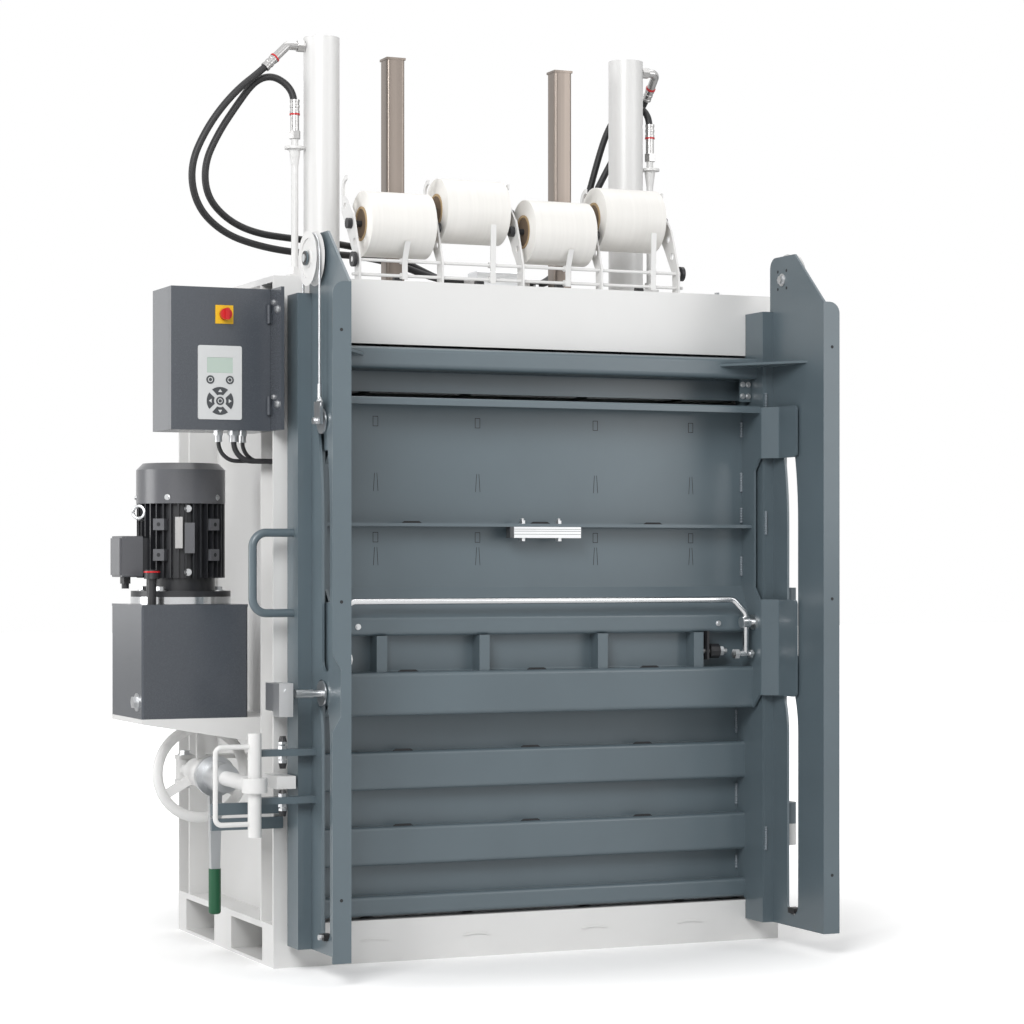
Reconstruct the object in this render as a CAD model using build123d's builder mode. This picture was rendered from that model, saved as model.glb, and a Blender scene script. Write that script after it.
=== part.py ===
"""Vertical recycling baler: welded frame, hydraulic press, hinged door with a sliding loading flap.

Millimetres. X runs to the right, Y to the back, Z up. The origin is on the floor, in the middle of
the base. Places along Y are mostly counted from the front plane of the base.
"""
import os
from math import atan2, degrees, pi, radians, tan
from build123d import *

os.makedirs("parts", exist_ok=True)

# Base and frame
base_w = 1370
base_d = 786
base_h = 103
base_deck_t = 15
base_skid_t = 8
pocket_w = 245
pocket_edge = 85
pocket_web = 140
frame_top = 1655
side_w = 85
wall_t = 10
column_d = 100
column_t = 8
rear_wall_inset = 46
rear_rib_h = 90
rear_rib_d = 36
rear_rib_shares = (0.1, 0.34, 0.58, 0.82)
deck_t = 15
header_h = 155
header_t = 10
overrun = 5
fit = 0.3
running_fit = 0.05

# Straps
strap_inner_x = 160
strap_outer_x = 428
strap_groove = 30
floor_strip_t = 14
floor_strip_margin = 10

# Press
cylinder_x = 430
press_y = 376
cylinder_r = 46
cylinder_bore_r = 36
cylinder_h = 650
cylinder_cap_t = 15
cylinder_flange_r = 75
cylinder_flange_t = 18
gland_t = 12
rod_r = 25
piston_t = 28
piston_head_gap = 4
guide_x = 236
guide_w = 50
guide_corner = 8
guide_wall = 4
guide_h = 605
guide_cap_w = 52
guide_cap_t = 6
guide_collar_w = 84
guide_collar_h = 18
platen_drop = 270
platen_pad_t = 20
platen_plate_t = 15
platen_beam_h = 70
platen_beam_w = 120
platen_beam_wall = 10
platen_side_gap = 12
platen_front_gap = 72
platen_rear_gap = 8
return_pipe_out = 72
return_pipe_r = 9
return_pipe_drop = 261
port_block_h = 25
port_block_w = 36
port_block_base = 20
ring_plate_r = 26
ring_plate_t = 6
ferrule_r = 11
ferrule_l = 45
ferrule_nut_r = 15
ferrule_nut_h = 20
head_port_drop = 25
elbow_reach = 45
elbow_out = 36
elbow_radius = 14

# Hoses: routes are (X, distance behind the front plane, Z)
hose_r = 9
manifold_x = 80
manifold_y = 455
manifold_w = 120
manifold_d = 66
manifold_h = 82
port_spread = 25
port_z = 50
hose_head_left_route = [
    (-664, 372, 2152), (-734, 370, 2062), (-779, 376, 1960), (-757, 392, 1862), (-680, 412, 1800),
    (-575, 437, 1774), (-455, 455, 1763), (-310, 462, 1767), (-190, 458, 1747), (-110, 447, 1718),
]
hose_rod_left_route = [
    (-521, 383, 2184), (-560, 391, 2204), (-603, 396, 2187), (-650, 398, 2122), (-697, 400, 2050),
    (-732, 404, 1972), (-724, 413, 1893), (-668, 426, 1838), (-588, 442, 1808), (-475, 463, 1801),
    (-340, 479, 1796), (-190, 482, 1770), (-105, 473, 1729),
]
hose_head_right_route = [
    (498, 458, 2168), (458, 476, 2090), (408, 484, 1998), (362, 482, 1910), (325, 474, 1830),
    (296, 460, 1770), (258, 448, 1727),
]
hose_rod_right_route = [
    (497, 394, 2182), (478, 428, 2202), (452, 466, 2186), (430, 494, 2135), (410, 508, 2060),
    (385, 510, 1970), (355, 508, 1890), (322, 501, 1820), (290, 489, 1765), (252, 474, 1727),
]
hose_run_out = 40
hose_run_in = 65

# Strap rack on the top frame
rack_x = -30
rack_pitch = 216
rack_bays = 4
rack_plate_t = 5
rack_foot_front = 6
rack_foot_d = 34
rack_neck = 46
rack_crook = 13
rack_hook_r = 26
rack_hook_w = 12
rack_hole_r = 9
rack_rod_r = 4
rack_rod_y = 20
rack_rod_z_low = 14
rack_rod_z_high = 50
rack_rod_over = 14
rack_disc_r = 18
rack_disc_t = 8
roll_low_y = 64
roll_low_z = 142
roll_high_y = 110
roll_high_z = 190
roll_r = 80
roll_l = 168
roll_bore_r = 35
axle_r = 8
axle_hub_r = 34.7
axle_hub_t = 12
axle_knob_r = 13
axle_knob_t = 12

# Power unit on the left side
tank_out = 15
tank_w = 266
tank_y0 = 150
tank_y1 = 420
tank_z0 = 593
tank_z1 = 868
tank_lid_t = 6
tank_edge = 4
tank_plug_r = 13
tank_plug_l = 12
tank_plug_rise = 40
tray_t = 12
tray_gusset_t = 8
tray_gusset_h = 60
motor_off = 4
motor_y = 285
motor_flange_r = 122
motor_flange_t = 32
motor_neck_r = 84
motor_neck_h = 32
motor_core_r = 92
motor_fin_r = 106
motor_fin_t = 3.2
motor_fins = 36
motor_body_h = 181
cowl_r = 109
cowl_h = 99
cowl_dome = 16
cowl_vent_r = 62
cowl_vent_t = 4
terminal_w = 52
terminal_d = 92
terminal_h = 100
terminal_rise = 2
terminal_lid_t = 5

# Control cabinet on the left side
cabinet_w = 245
cabinet_d = 154
cabinet_h = 338
cabinet_z = 1283
cabinet_wall = 3
cabinet_door_d = 18
cabinet_seam = 1
cabinet_mount_t = 8
cabinet_mount_reach = 80
cabinet_hinge_r = 5
cabinet_hinge_pin_r = 2.5
cabinet_hinge_gap = 0.5
cabinet_hinge_leaf = 3
cabinet_knuckle = 22
cabinet_hinge_inset = 60
panel_w = 108
panel_h = 175
panel_t = 3
panel_inset = 72
panel_rise = 25
panel_corner = 5
display_w = 64
display_h = 37
display_depth = 1
display_rise = 110
knob_inset = 115
knob_rise = 274
knob_r = 14
knob_l = 22
knob_shaft_r = 4
knob_shaft_l = 8
knob_grip_w = 9
knob_grip_l = 10

# Door, hinged on the right
door_gap = 3
door_plug = 51
door_floor_gap = 7
skin_t = 6
rib_d = 45
rib_t = 6
rib_radius = 9
rib_upper_base = 417
rib_lower_base = 234
rib_h = 94
sill_base = 612
sill_h = 30
foot_rib_base = 112
foot_rib_h = 48
door_side_gap = 6
stile_t = 6
stile_front = 95
stile_foot = 56
stile_top = 1606
stile_step = 1490
top_rail_front = 62
top_rail_base = 1441
top_rail_top = 1484
top_rail_inner = 20
top_rail_drop = 56
top_rail_t = 5
sheet_radius = 7
gusset_z = 1466
gusset_t = 6
gusset_span = 108
gusset_reach = 271
box_w = 63
box_front = 97
box_back = 20
box_wall = 5
arm_gap = 6
post_t = 6
post_front = 353
post_foot = 56
post_top = 1611
post_flange = 45
ear_back = 81
ear_top = 1742
ear_apex = 207
ear_corner = 28
slot_w = 55
slot_line = 198
slot_upper_foot = 742
slot_upper_bend = 1070
slot_upper_top = 1306
slot_lower_foot = 114
slot_lower_bend = 545
slot_lower_top = 668
slot_back = 165
notch_foot = 584
notch_h = 176
notch_d = 20
notch_bevel = 34
pulley_y = 144
pulley_z = 1683
pulley_r = 65
pulley_groove_r = 54.7
pulley_groove_w = 8
pulley_w = 20
pulley_gap = 7
pulley_rim_t = 8
pulley_recess = 3
pulley_hub_r = 22
pulley_axle_r = 10
pulley_head_r = 17
pulley_head_t = 4
rope_r = 3
claw_upper_z = 524
claw_lower_z = 412
claw_t = 16
claw_d = 30
claw_gap = 5
claw_bolt_in = 60
claw_bolt_r = 6
claw_bolt_up = 22
claw_bolt_down = 14
handle_r = 10
handle_reach = 100
handle_z0 = 850
handle_z1 = 1040
handle_bend = 34
handle_y = 60
weight_l = 1000
weight_z = 70

# Door hinge
hinge_out = 5
hinge_y = 45
hinge_low_z = 300
hinge_mid_z = 850
hinge_high_z = 1400
hinge_r = 20
hinge_pin_r = 10
hinge_knuckle = 55
hinge_leaf_t = 14

# Loading flap, slides down in front of the door
flap_gap = 3
flap_t = 4
flap_side_gap = 7
flap_rail_base = 605
flap_rail_top = 702
flap_rail_front = 62
flap_beam_base = 797
flap_beam_top = 834
flap_beam_front = 42
flap_slope_top = 908
flap_shelf_z = 1366
flap_shelf_front = 105
flap_lip = 18
flap_bend = 6
ledge_z = 1057
ledge_t = 8
ledge_d = 55
finger_w = 27
finger_front = 52
clamp_w = 190
clamp_h = 27
clamp_d = 26
end_t = 6
end_front = 100
end_strip = 70
arm_low_z0 = 634
arm_low_z1 = 876
arm_high_z0 = 1233
arm_high_z1 = 1362
arm_jog = 30
arm_jog_start = 110
arm_jog_end = 150
arm_front = 235
arm_corner = 12
guide_pin_r = 8
guide_pin_y = 181
guide_pin_low_z = 664
guide_pin_high_z = 1300
guide_pin_over = 27
guide_disc_r = 30
guide_disc_t = 4
guide_disc_gap = 3
rope_lug_t = 8
rope_lug_h = 53
rope_lug_drop = 8
rope_lug_d = 41
sensor_stub_r = 10
sensor_stub_gap = 12
bail_y = 75
bail_z = 818
bail_bolt_r = 8
bail_bolt_head_r = 14
bail_bolt_head_t = 4
bail_eye_w = 18
bail_eye_r = 15
bail_gap = 16
bail_leg = 80
bail_rise = 58
bail_slant = 36
bail_bend = 24
bail_bar_r = 8
bail_toe_l = 30

# Door lock on the left side
lock_out = 96
lock_z = 452
lock_pivot_y = 405
lock_bar_y = -148
anchor_t = 10
anchor_d = 44
lock_eye_r = 24
lock_eye_h = 50
lock_pin_r = 10
spindle_r = 18
crossbar_r = 16
crossbar_half = 121
crossbar_wall = 4
collar_r = 30
collar_h = 34
loop_r = 6
loop_reach = 95
loop_half = 106
loop_bend = 16
wheel_y = 275
wheel_r = 110
wheel_rim_r = 13
wheel_spokes = 3
spoke_w = 22
spoke_t = 12
hub_r = 35
sleeve_front = 70
sleeve_rear = 172
hub_gap = 1
hub_rear = 305
lever_y = 160
lever_ring_r = 50
lever_t = 18
lever_w = 34
lever_tip_w = 22
lever_l = 225
grip_r = 15
grip_l = 110
rest_in = 20
rest_w = 47
rest_front = 105
rest_h = 30
support_w = 177
support_t = 12
support_low_z = 336
support_high_z = 372
support_h = 28
switch_w = 34
switch_d = 42
switch_h = 78
switch_z = 612
switch_lap = 9
switch_plate_w = 32
switch_plate_t = 8
switch_plate_h = 66

# Places worked out from the sizes above
front = -base_d / 2
rear = base_d / 2
wall_in = base_w / 2 - side_w
wall_out = wall_in + wall_t
column_out = base_w / 2
deck_under = frame_top - deck_t
cylinder_top = frame_top + cylinder_h
guide_top = frame_top + guide_h
platen_bottom = frame_top - platen_drop
return_pipe_x = cylinder_x + return_pipe_out
return_pipe_top = cylinder_top - return_pipe_drop
rear_wall_y = rear - rear_wall_inset
strap_xs = [-strap_outer_x, -strap_inner_x, strap_inner_x, strap_outer_x]
cyl_y = front + press_y
manifold_mid = front + manifold_y
platen_top = platen_bottom + platen_pad_t + platen_plate_t + platen_beam_h
rib_front = front + door_plug - skin_t - rib_d
flap_rear = front - flap_gap
flap_face = flap_rear - flap_t
stile_x = wall_in - door_side_gap - stile_t
box_x1 = stile_x + stile_t + box_w
flap_half = stile_x - flap_side_gap - end_t
arm_out = flap_half + arm_jog + end_t
post_x = arm_out + arm_gap
post_face = post_x + post_t
pulley_mid = post_face + pulley_gap + pulley_w / 2
guide_pin_end = post_face + guide_pin_over
hinge_x = column_out + hinge_out
lock_x = -column_out - lock_out
claw_end = -lock_x - crossbar_r - claw_gap
claw_bolt_x = claw_end - claw_bolt_in
rest_x1 = -column_out + rest_in
tank_x1 = -column_out - tank_out
tank_x0 = tank_x1 - tank_w
motor_x = (tank_x0 + tank_x1) / 2 + motor_off
switch_x1 = rest_x1 - switch_plate_w - switch_plate_t
cabinet_x1 = -column_out - cabinet_mount_t
cabinet_x0 = cabinet_x1 - cabinet_w


def slab(x0, x1, y0, y1, z0, z1, mode=Mode.ADD):
    """A plate or block between two corners."""
    with Locations(((x0 + x1) / 2, (y0 + y1) / 2, (z0 + z1) / 2)):
        Box(abs(x1 - x0), abs(y1 - y0), abs(z1 - z0), mode=mode)


def rod_x(x0, x1, y, z, r, mode=Mode.ADD):
    """A round bar along X."""
    with Locations(Location(((x0 + x1) / 2, y, z), (0, 90, 0))):
        Cylinder(r, abs(x1 - x0), mode=mode)


def rod_y(x, y0, y1, z, r, mode=Mode.ADD):
    """A round bar along Y."""
    with Locations(Location((x, (y0 + y1) / 2, z), (90, 0, 0))):
        Cylinder(r, abs(y1 - y0), mode=mode)


def rod_z(x, y, z0, z1, r, mode=Mode.ADD):
    """A round bar along Z."""
    with Locations((x, y, (z0 + z1) / 2)):
        Cylinder(r, abs(z1 - z0), mode=mode)


def folded(plane, points, radius, gauge, side=Side.LEFT):
    """The section of a sheet folded along points, with its thickness on one side."""
    with BuildSketch(plane) as section:
        with BuildLine():
            FilletPolyline(*points, radius=radius)
            offset(amount=gauge, side=side)
        make_face()
    return section.sketch


def save(piece, name):
    """Label a finished piece and write it."""
    piece.part.label = name
    export_step(piece.part, f"parts/{name}.step")


# Base frame: one hollow section with two fork pockets, running across the machine
pocket_h = base_h - base_skid_t - base_deck_t
pocket_z = base_skid_t + pocket_h / 2
pocket_y = front + pocket_edge + pocket_w / 2
with BuildPart() as base_frame:
    with BuildSketch(Plane.YZ):
        with Locations((0, base_h / 2)):
            Rectangle(base_d, base_h)
        with Locations((pocket_y, pocket_z), (pocket_y + pocket_w + pocket_web, pocket_z)):
            Rectangle(pocket_w, pocket_h, mode=Mode.SUBTRACT)
    extrude(amount=column_out, both=True)
save(base_frame, "base_frame")

# Floor strips, with a strap groove between each two
strip_edges = [-wall_in + floor_strip_margin]
for x in strap_xs:
    strip_edges += [x - strap_groove / 2, x + strap_groove / 2]
strip_edges.append(wall_in - floor_strip_margin)
strip_pairs = list(zip(strip_edges[0::2], strip_edges[1::2]))
strip_front = front + door_plug + floor_strip_margin
strip_rear = rear_wall_y - floor_strip_margin
with BuildPart() as floor_strips:
    for x0, x1 in strip_pairs:
        slab(x0, x1, strip_front, strip_rear, base_h, base_h + floor_strip_t)
save(floor_strips, "floor_strips")

# Side frames: a wall with an open column at each end
column_reach = column_out - wall_out
flange_ys = [front + column_t / 2, front + column_d - column_t / 2]
flange_ys += [-y for y in flange_ys]
for side, name in ((-1, "side_frame_left"), (1, "side_frame_right")):
    with BuildPart() as side_frame:
        with BuildSketch(Plane.XY.offset(base_h)):
            with Locations((side * (wall_in + wall_t / 2), 0)):
                Rectangle(wall_t, base_d)
            with Locations(*[(side * (wall_out + column_reach / 2), y) for y in flange_ys]):
                Rectangle(column_reach, column_t)
        extrude(amount=deck_under - base_h)
    save(side_frame, name)

# Rear wall with four folded stiffeners
with BuildPart() as rear_wall:
    slab(-wall_in, wall_in, rear_wall_y, rear_wall_y + wall_t, base_h, deck_under)
    rib_back = rear_wall_y + wall_t + rear_rib_d - column_t
    for share in rear_rib_shares:
        z = base_h + share * (deck_under - base_h)
        start = rear_wall_y + wall_t
        hat = [(start, z), (rib_back, z), (rib_back, z + rear_rib_h), (start, z + rear_rib_h)]
        extrude(folded(Plane.YZ, hat, sheet_radius, rib_t), amount=wall_in, both=True)
save(rear_wall, "rear_wall")

# Top frame: deck, header and the collars that guide the square tubes
guide_places = [(side * guide_x, cyl_y) for side in (-1, 1)]
guide_hole_w = guide_w + 2 * fit
with BuildPart() as top_frame:
    slab(-column_out, column_out, front, rear, deck_under, frame_top)
    slab(-wall_in, wall_in, front, front + header_t, frame_top - header_h, deck_under)
    with BuildSketch(Plane.XY.offset(frame_top)):
        with Locations(*guide_places):
            RectangleRounded(guide_collar_w, guide_collar_w, guide_corner)
    extrude(amount=guide_collar_h)
    with BuildSketch(Plane.XY.offset(deck_under)):
        with Locations(*guide_places):
            RectangleRounded(guide_hole_w, guide_hole_w, guide_corner + fit)
    extrude(amount=frame_top + guide_collar_h - deck_under, mode=Mode.SUBTRACT)
    for side in (-1, 1):
        rod_z(side * cylinder_x, cyl_y, deck_under, frame_top, rod_r + fit, Mode.SUBTRACT)
save(top_frame, "top_frame")

# Hydraulic cylinders with foot flange, gland and the block that the return pipe stands on
port_block_top = frame_top + port_block_base + port_block_h
with BuildPart() as cylinders:
    for side in (-1, 1):
        x = side * cylinder_x
        with BuildSketch(Plane.XZ.offset(-cyl_y)):
            with BuildLine():
                Polyline(
                    (x + rod_r + running_fit, frame_top),
                    (x + cylinder_flange_r, frame_top),
                    (x + cylinder_flange_r, frame_top + cylinder_flange_t),
                    (x + cylinder_r, frame_top + cylinder_flange_t),
                    (x + cylinder_r, cylinder_top),
                    (x, cylinder_top),
                    (x, cylinder_top - cylinder_cap_t),
                    (x + cylinder_bore_r, cylinder_top - cylinder_cap_t),
                    (x + cylinder_bore_r, frame_top + gland_t),
                    (x + rod_r + running_fit, frame_top + gland_t),
                    close=True,
                )
            make_face()
        revolve(axis=Axis((x, cyl_y, 0), (0, 0, 1)))
        block_in = side * (cylinder_x + (cylinder_bore_r + cylinder_r) / 2)
        block_out = side * (return_pipe_x + port_block_w / 2)
        half = port_block_w / 2
        slab(block_in, block_out, cyl_y - half, cyl_y + half, port_block_top - port_block_h, port_block_top)
save(cylinders, "cylinders")

# Return pipes along the cylinders, each held by a ring plate
with BuildPart() as return_pipes:
    for side in (-1, 1):
        x = side * return_pipe_x
        ring_z = return_pipe_top - ferrule_nut_h
        rod_z(x, cyl_y, port_block_top, return_pipe_top, return_pipe_r)
        rod_z(x, cyl_y, ring_z - ring_plate_t, ring_z, ring_plate_r)
        plate_in = side * (cylinder_x + cylinder_r + fit)
        half = return_pipe_r
        slab(plate_in, x, cyl_y - half, cyl_y + half, ring_z - ring_plate_t, ring_z)
save(return_pipes, "return_pipes")

# Hose fittings: straight ones on the return pipes, elbows on the cylinder heads
head_port_z = cylinder_top - head_port_drop
ferrule_top = return_pipe_top + ferrule_nut_h + ferrule_l
fitting_in = cylinder_x + cylinder_r + fit
elbow_x = fitting_in + elbow_reach
elbow_ends = {
    -1: (-elbow_x - elbow_out, cyl_y, head_port_z - elbow_out),
    1: (elbow_x, cyl_y + elbow_out, head_port_z - elbow_out),
}
with BuildPart() as hose_fittings:
    for side in (-1, 1):
        x = side * return_pipe_x
        with BuildSketch(Plane.XY.offset(return_pipe_top)):
            with Locations((x, cyl_y)):
                RegularPolygon(ferrule_nut_r, 6)
        extrude(amount=ferrule_nut_h)
        rod_z(x, cyl_y, return_pipe_top + ferrule_nut_h, ferrule_top, ferrule_r)
        with BuildSketch(Plane.YZ.offset(side * fitting_in)):
            with Locations((cyl_y, head_port_z)):
                RegularPolygon(ferrule_nut_r, 6)
        extrude(amount=side * ferrule_nut_h)
        with BuildLine() as elbow:
            FilletPolyline(
                (side * fitting_in, cyl_y, head_port_z),
                (side * elbow_x, cyl_y, head_port_z),
                elbow_ends[side],
                radius=elbow_radius,
            )
        with BuildSketch(Plane(elbow.line @ 0, z_dir=elbow.line % 0)):
            Circle(ferrule_r)
        sweep(path=elbow.line)
save(hose_fittings, "hose_fittings")

# Manifold block on the deck, where the four hoses end
with BuildPart() as manifold_block:
    half_w = manifold_w / 2
    half_d = manifold_d / 2
    block_top = frame_top + manifold_h
    slab(manifold_x - half_w, manifold_x + half_w, manifold_mid - half_d, manifold_mid + half_d,
         frame_top, block_top)
    chamfer(manifold_block.edges().group_by(Axis.Z)[-1], length=tank_edge)
save(manifold_block, "manifold_block")

# Hoses: straight runs with arcs as large as the runs allow
port_left = manifold_x - manifold_w / 2
port_right = manifold_x + manifold_w / 2
elbow_run = hose_run_out / 2**0.5
hose_routes = {
    "hose_head_left": (elbow_ends[-1], (-elbow_run, 0, -elbow_run), hose_head_left_route, -1, -1),
    "hose_rod_left": ((-return_pipe_x, cyl_y, ferrule_top), (0, 0, hose_run_out), hose_rod_left_route, -1, 1),
    "hose_head_right": (elbow_ends[1], (0, elbow_run, -elbow_run), hose_head_right_route, 1, -1),
    "hose_rod_right": ((return_pipe_x, cyl_y, ferrule_top), (0, 0, hose_run_out), hose_rod_right_route, 1, 1),
}
for name, (start, run_out, route, side, row) in hose_routes.items():
    port_x = port_left if side < 0 else port_right
    port = Vector(port_x, manifold_mid + row * port_spread / 2, frame_top + port_z)
    middle = [Vector(x, front + y, z) for x, y, z in route]
    first = Vector(start)
    points = [first, first + Vector(run_out), *middle, port + Vector(side * hose_run_in, 0, 0), port]
    runs = [b - a for a, b in zip(points, points[1:])]
    radii = []
    for before, after in zip(runs, runs[1:]):
        shorter = min(before.length, after.length)
        radii.append(0.45 * shorter / tan(radians(before.get_angle(after) / 2)))
    with BuildPart() as hose:
        with BuildLine() as path:
            FilletPolyline(*points, radius=radii)
        with BuildSketch(Plane(path.line @ 0, z_dir=path.line % 0)):
            Circle(hose_r)
        sweep(path=path.line)
    hose_l = sum(edge.length for edge in path.line.edges())
    swept = hose.part.volume / (pi * hose_r**2 * hose_l)
    print(name, "length", round(hose_l), "volume share", round(swept, 4))
    print("  radii", [round(r) for r in radii])
    save(hose, name)

# Strap rack: five leaning brackets with a seat for a low and a high roll and a hook on top
rack_xs = [rack_x + (i - rack_bays / 2) * rack_pitch for i in range(rack_bays + 1)]
foot_y = front + rack_foot_front
low_seat = (front + roll_low_y, frame_top + roll_low_z)
high_seat = (front + roll_high_y, frame_top + roll_high_z)
rod_seats = [
    (front + rack_rod_y, frame_top + rack_rod_z_low),
    (front + rack_rod_y, frame_top + rack_rod_z_high),
]
half_neck = rack_neck / 2
bracket_outline = [
    (foot_y, frame_top),
    (foot_y + rack_foot_d, frame_top),
    (foot_y + rack_foot_d, frame_top + rack_rod_z_high),
    (low_seat[0] + half_neck, low_seat[1] - half_neck),
    (high_seat[0] + half_neck, high_seat[1] - rack_crook),
    (high_seat[0] + half_neck, high_seat[1] + half_neck),
    (high_seat[0] - rack_crook, high_seat[1] + half_neck),
    (high_seat[0] - half_neck, high_seat[1] + rack_crook),
    (low_seat[0] - rack_crook, low_seat[1] + half_neck),
    (low_seat[0] - half_neck, low_seat[1]),
    (foot_y, frame_top + rack_rod_z_high),
]
hook_foot = (high_seat[0] + half_neck - rack_hook_w / 2, high_seat[1] + half_neck - rack_hook_w / 2)
hook_tip = (hook_foot[0] - rack_hook_r, hook_foot[1] + 2 * rack_hook_r)
with BuildPart() as rack_brackets:
    for x in rack_xs:
        with BuildSketch(Plane.YZ.offset(x - rack_plate_t / 2)):
            with BuildLine():
                Polyline(*bracket_outline, close=True)
            make_face()
            with BuildLine() as hook:
                straight = Line(hook_foot, (hook_foot[0], hook_foot[1] + rack_hook_r))
                TangentArc(straight @ 1, hook_tip, tangent=straight % 1)
            trace(hook.line, rack_hook_w)
            with Locations(low_seat, high_seat):
                Circle(axle_r + fit, mode=Mode.SUBTRACT)
            with Locations(*rod_seats):
                Circle(rack_rod_r + fit, mode=Mode.SUBTRACT)
            with Locations(((rod_seats[1][0] + low_seat[0]) / 2, (rod_seats[1][1] + low_seat[1]) / 2)):
                Circle(rack_hole_r, mode=Mode.SUBTRACT)
        extrude(amount=rack_plate_t)
save(rack_brackets, "rack_brackets")

# Rack rods with end discs
with BuildPart() as rack_rods:
    rod_x0 = rack_xs[0] - rack_plate_t / 2 - rack_rod_over
    rod_x1 = rack_xs[-1] + rack_plate_t / 2 + rack_rod_over
    for y, z in rod_seats:
        rod_x(rod_x0, rod_x1, y, z, rack_rod_r)
    y, z = rod_seats[1]
    rod_x(rod_x0, rod_x0 + rack_disc_t, y, z, rack_disc_r)
    rod_x(rod_x1 - rack_disc_t, rod_x1, y, z, rack_disc_r)
save(rack_rods, "rack_rods")

# Roll axles with hubs inside the cores and knobs outside the brackets, and the rolls on them
roll_xs = [(a + b) / 2 for a, b in zip(rack_xs, rack_xs[1:])]
roll_places = [(x, *(high_seat if i % 2 else low_seat)) for i, x in enumerate(roll_xs)]
with BuildPart() as roll_axles:
    for x, y, z in roll_places:
        reach = rack_pitch / 2 + rack_plate_t / 2 + axle_knob_t
        rod_x(x - reach, x + reach, y, z, axle_r)
        for side in (-1, 1):
            rod_x(x + side * (reach - axle_knob_t), x + side * reach, y, z, axle_knob_r)
            hub = x + side * roll_l / 2
            rod_x(hub, hub - side * axle_hub_t, y, z, axle_hub_r)
save(roll_axles, "roll_axles")

for i, (x, y, z) in enumerate(roll_places):
    with BuildPart() as strap_roll:
        with BuildSketch(Plane.YZ.offset(x)):
            with Locations((y, z)):
                Circle(roll_r)
                Circle(roll_bore_r, mode=Mode.SUBTRACT)
        extrude(amount=roll_l / 2, both=True)
    save(strap_roll, f"strap_roll_{i + 1}")

# Oil tank with its lid and drain plug, on a tray with gussets
tank_front = front + tank_y0
tank_rear = front + tank_y1
with BuildPart() as oil_tank:
    slab(tank_x0, tank_x1, tank_front, tank_rear, tank_z0, tank_z1 - tank_lid_t)
    chamfer(oil_tank.edges().filter_by(Axis.Z), length=tank_edge)
    slab(tank_x0, tank_x1, tank_front, tank_rear, tank_z1 - tank_lid_t, tank_z1)
    plug_y = tank_front + tank_plug_rise
    rod_x(tank_x0, tank_x0 - tank_plug_l, plug_y, tank_z0 + tank_plug_rise, tank_plug_r)
save(oil_tank, "oil_tank")

with BuildPart() as tank_tray:
    slab(tank_x0, -wall_out, tank_front, tank_rear, tank_z0 - tray_t, tank_z0)
    for y in (tank_front, tank_rear - tray_gusset_t):
        with BuildSketch(Plane.XZ.offset(-y)):
            with BuildLine():
                Polyline(
                    (tank_x0, tank_z0 - tray_t),
                    (-wall_out, tank_z0 - tray_t),
                    (-wall_out, tank_z0 - tray_t - tray_gusset_h),
                    close=True,
                )
            make_face()
        extrude(amount=-tray_gusset_t)
save(tank_tray, "tank_tray")

# Electric motor on the tank: flange with neck, finned housing, fan cowl and terminal box
axis_y = front + motor_y
neck_top = tank_z1 + motor_flange_t + motor_neck_h
body_top = neck_top + motor_body_h
terminal_z = neck_top + terminal_rise
terminal_x1 = motor_x - motor_fin_r - motor_fin_t
with BuildPart() as motor_flange:
    rod_z(motor_x, axis_y, tank_z1, tank_z1 + motor_flange_t, motor_flange_r)
    rod_z(motor_x, axis_y, tank_z1 + motor_flange_t, neck_top, motor_neck_r)
save(motor_flange, "motor_flange")

with BuildPart() as motor_housing:
    with BuildSketch(Plane.XY.offset(neck_top)):
        with Locations((motor_x, axis_y)):
            Circle(motor_core_r)
            with PolarLocations((motor_core_r + motor_fin_r) / 2, motor_fins):
                Rectangle(motor_fin_r - motor_core_r + motor_fin_t, motor_fin_t)
    extrude(amount=motor_body_h)
    pad_half = terminal_d / 2 - terminal_lid_t
    slab(terminal_x1, motor_x - motor_core_r / 2, axis_y - pad_half, axis_y + pad_half,
         terminal_z + terminal_lid_t, terminal_z + terminal_h - terminal_lid_t)
save(motor_housing, "motor_housing")

with BuildPart() as fan_cowl:
    with BuildSketch(Plane.XZ.offset(-axis_y)):
        with BuildLine():
            Polyline(
                (motor_x, body_top),
                (motor_x + cowl_r, body_top),
                (motor_x + cowl_r, body_top + cowl_h - cowl_dome),
                (motor_x + cowl_r - cowl_dome, body_top + cowl_h),
                (motor_x + cowl_vent_r, body_top + cowl_h),
                (motor_x + cowl_vent_r, body_top + cowl_h - cowl_vent_t),
                (motor_x, body_top + cowl_h - cowl_vent_t),
                close=True,
            )
        make_face()
    revolve(axis=Axis((motor_x, axis_y, 0), (0, 0, 1)))
save(fan_cowl, "fan_cowl")

with BuildPart() as terminal_box:
    box_left = terminal_x1 - terminal_w
    half = terminal_d / 2
    slab(box_left, terminal_x1, axis_y - half, axis_y + half, terminal_z, terminal_z + terminal_h)
    fillet(terminal_box.edges().filter_by(Axis.X), radius=terminal_lid_t)
    slab(box_left - terminal_lid_t, box_left, axis_y - half + terminal_lid_t, axis_y + half - terminal_lid_t,
         terminal_z + terminal_lid_t, terminal_z + terminal_h - terminal_lid_t)
save(terminal_box, "terminal_box")

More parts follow.
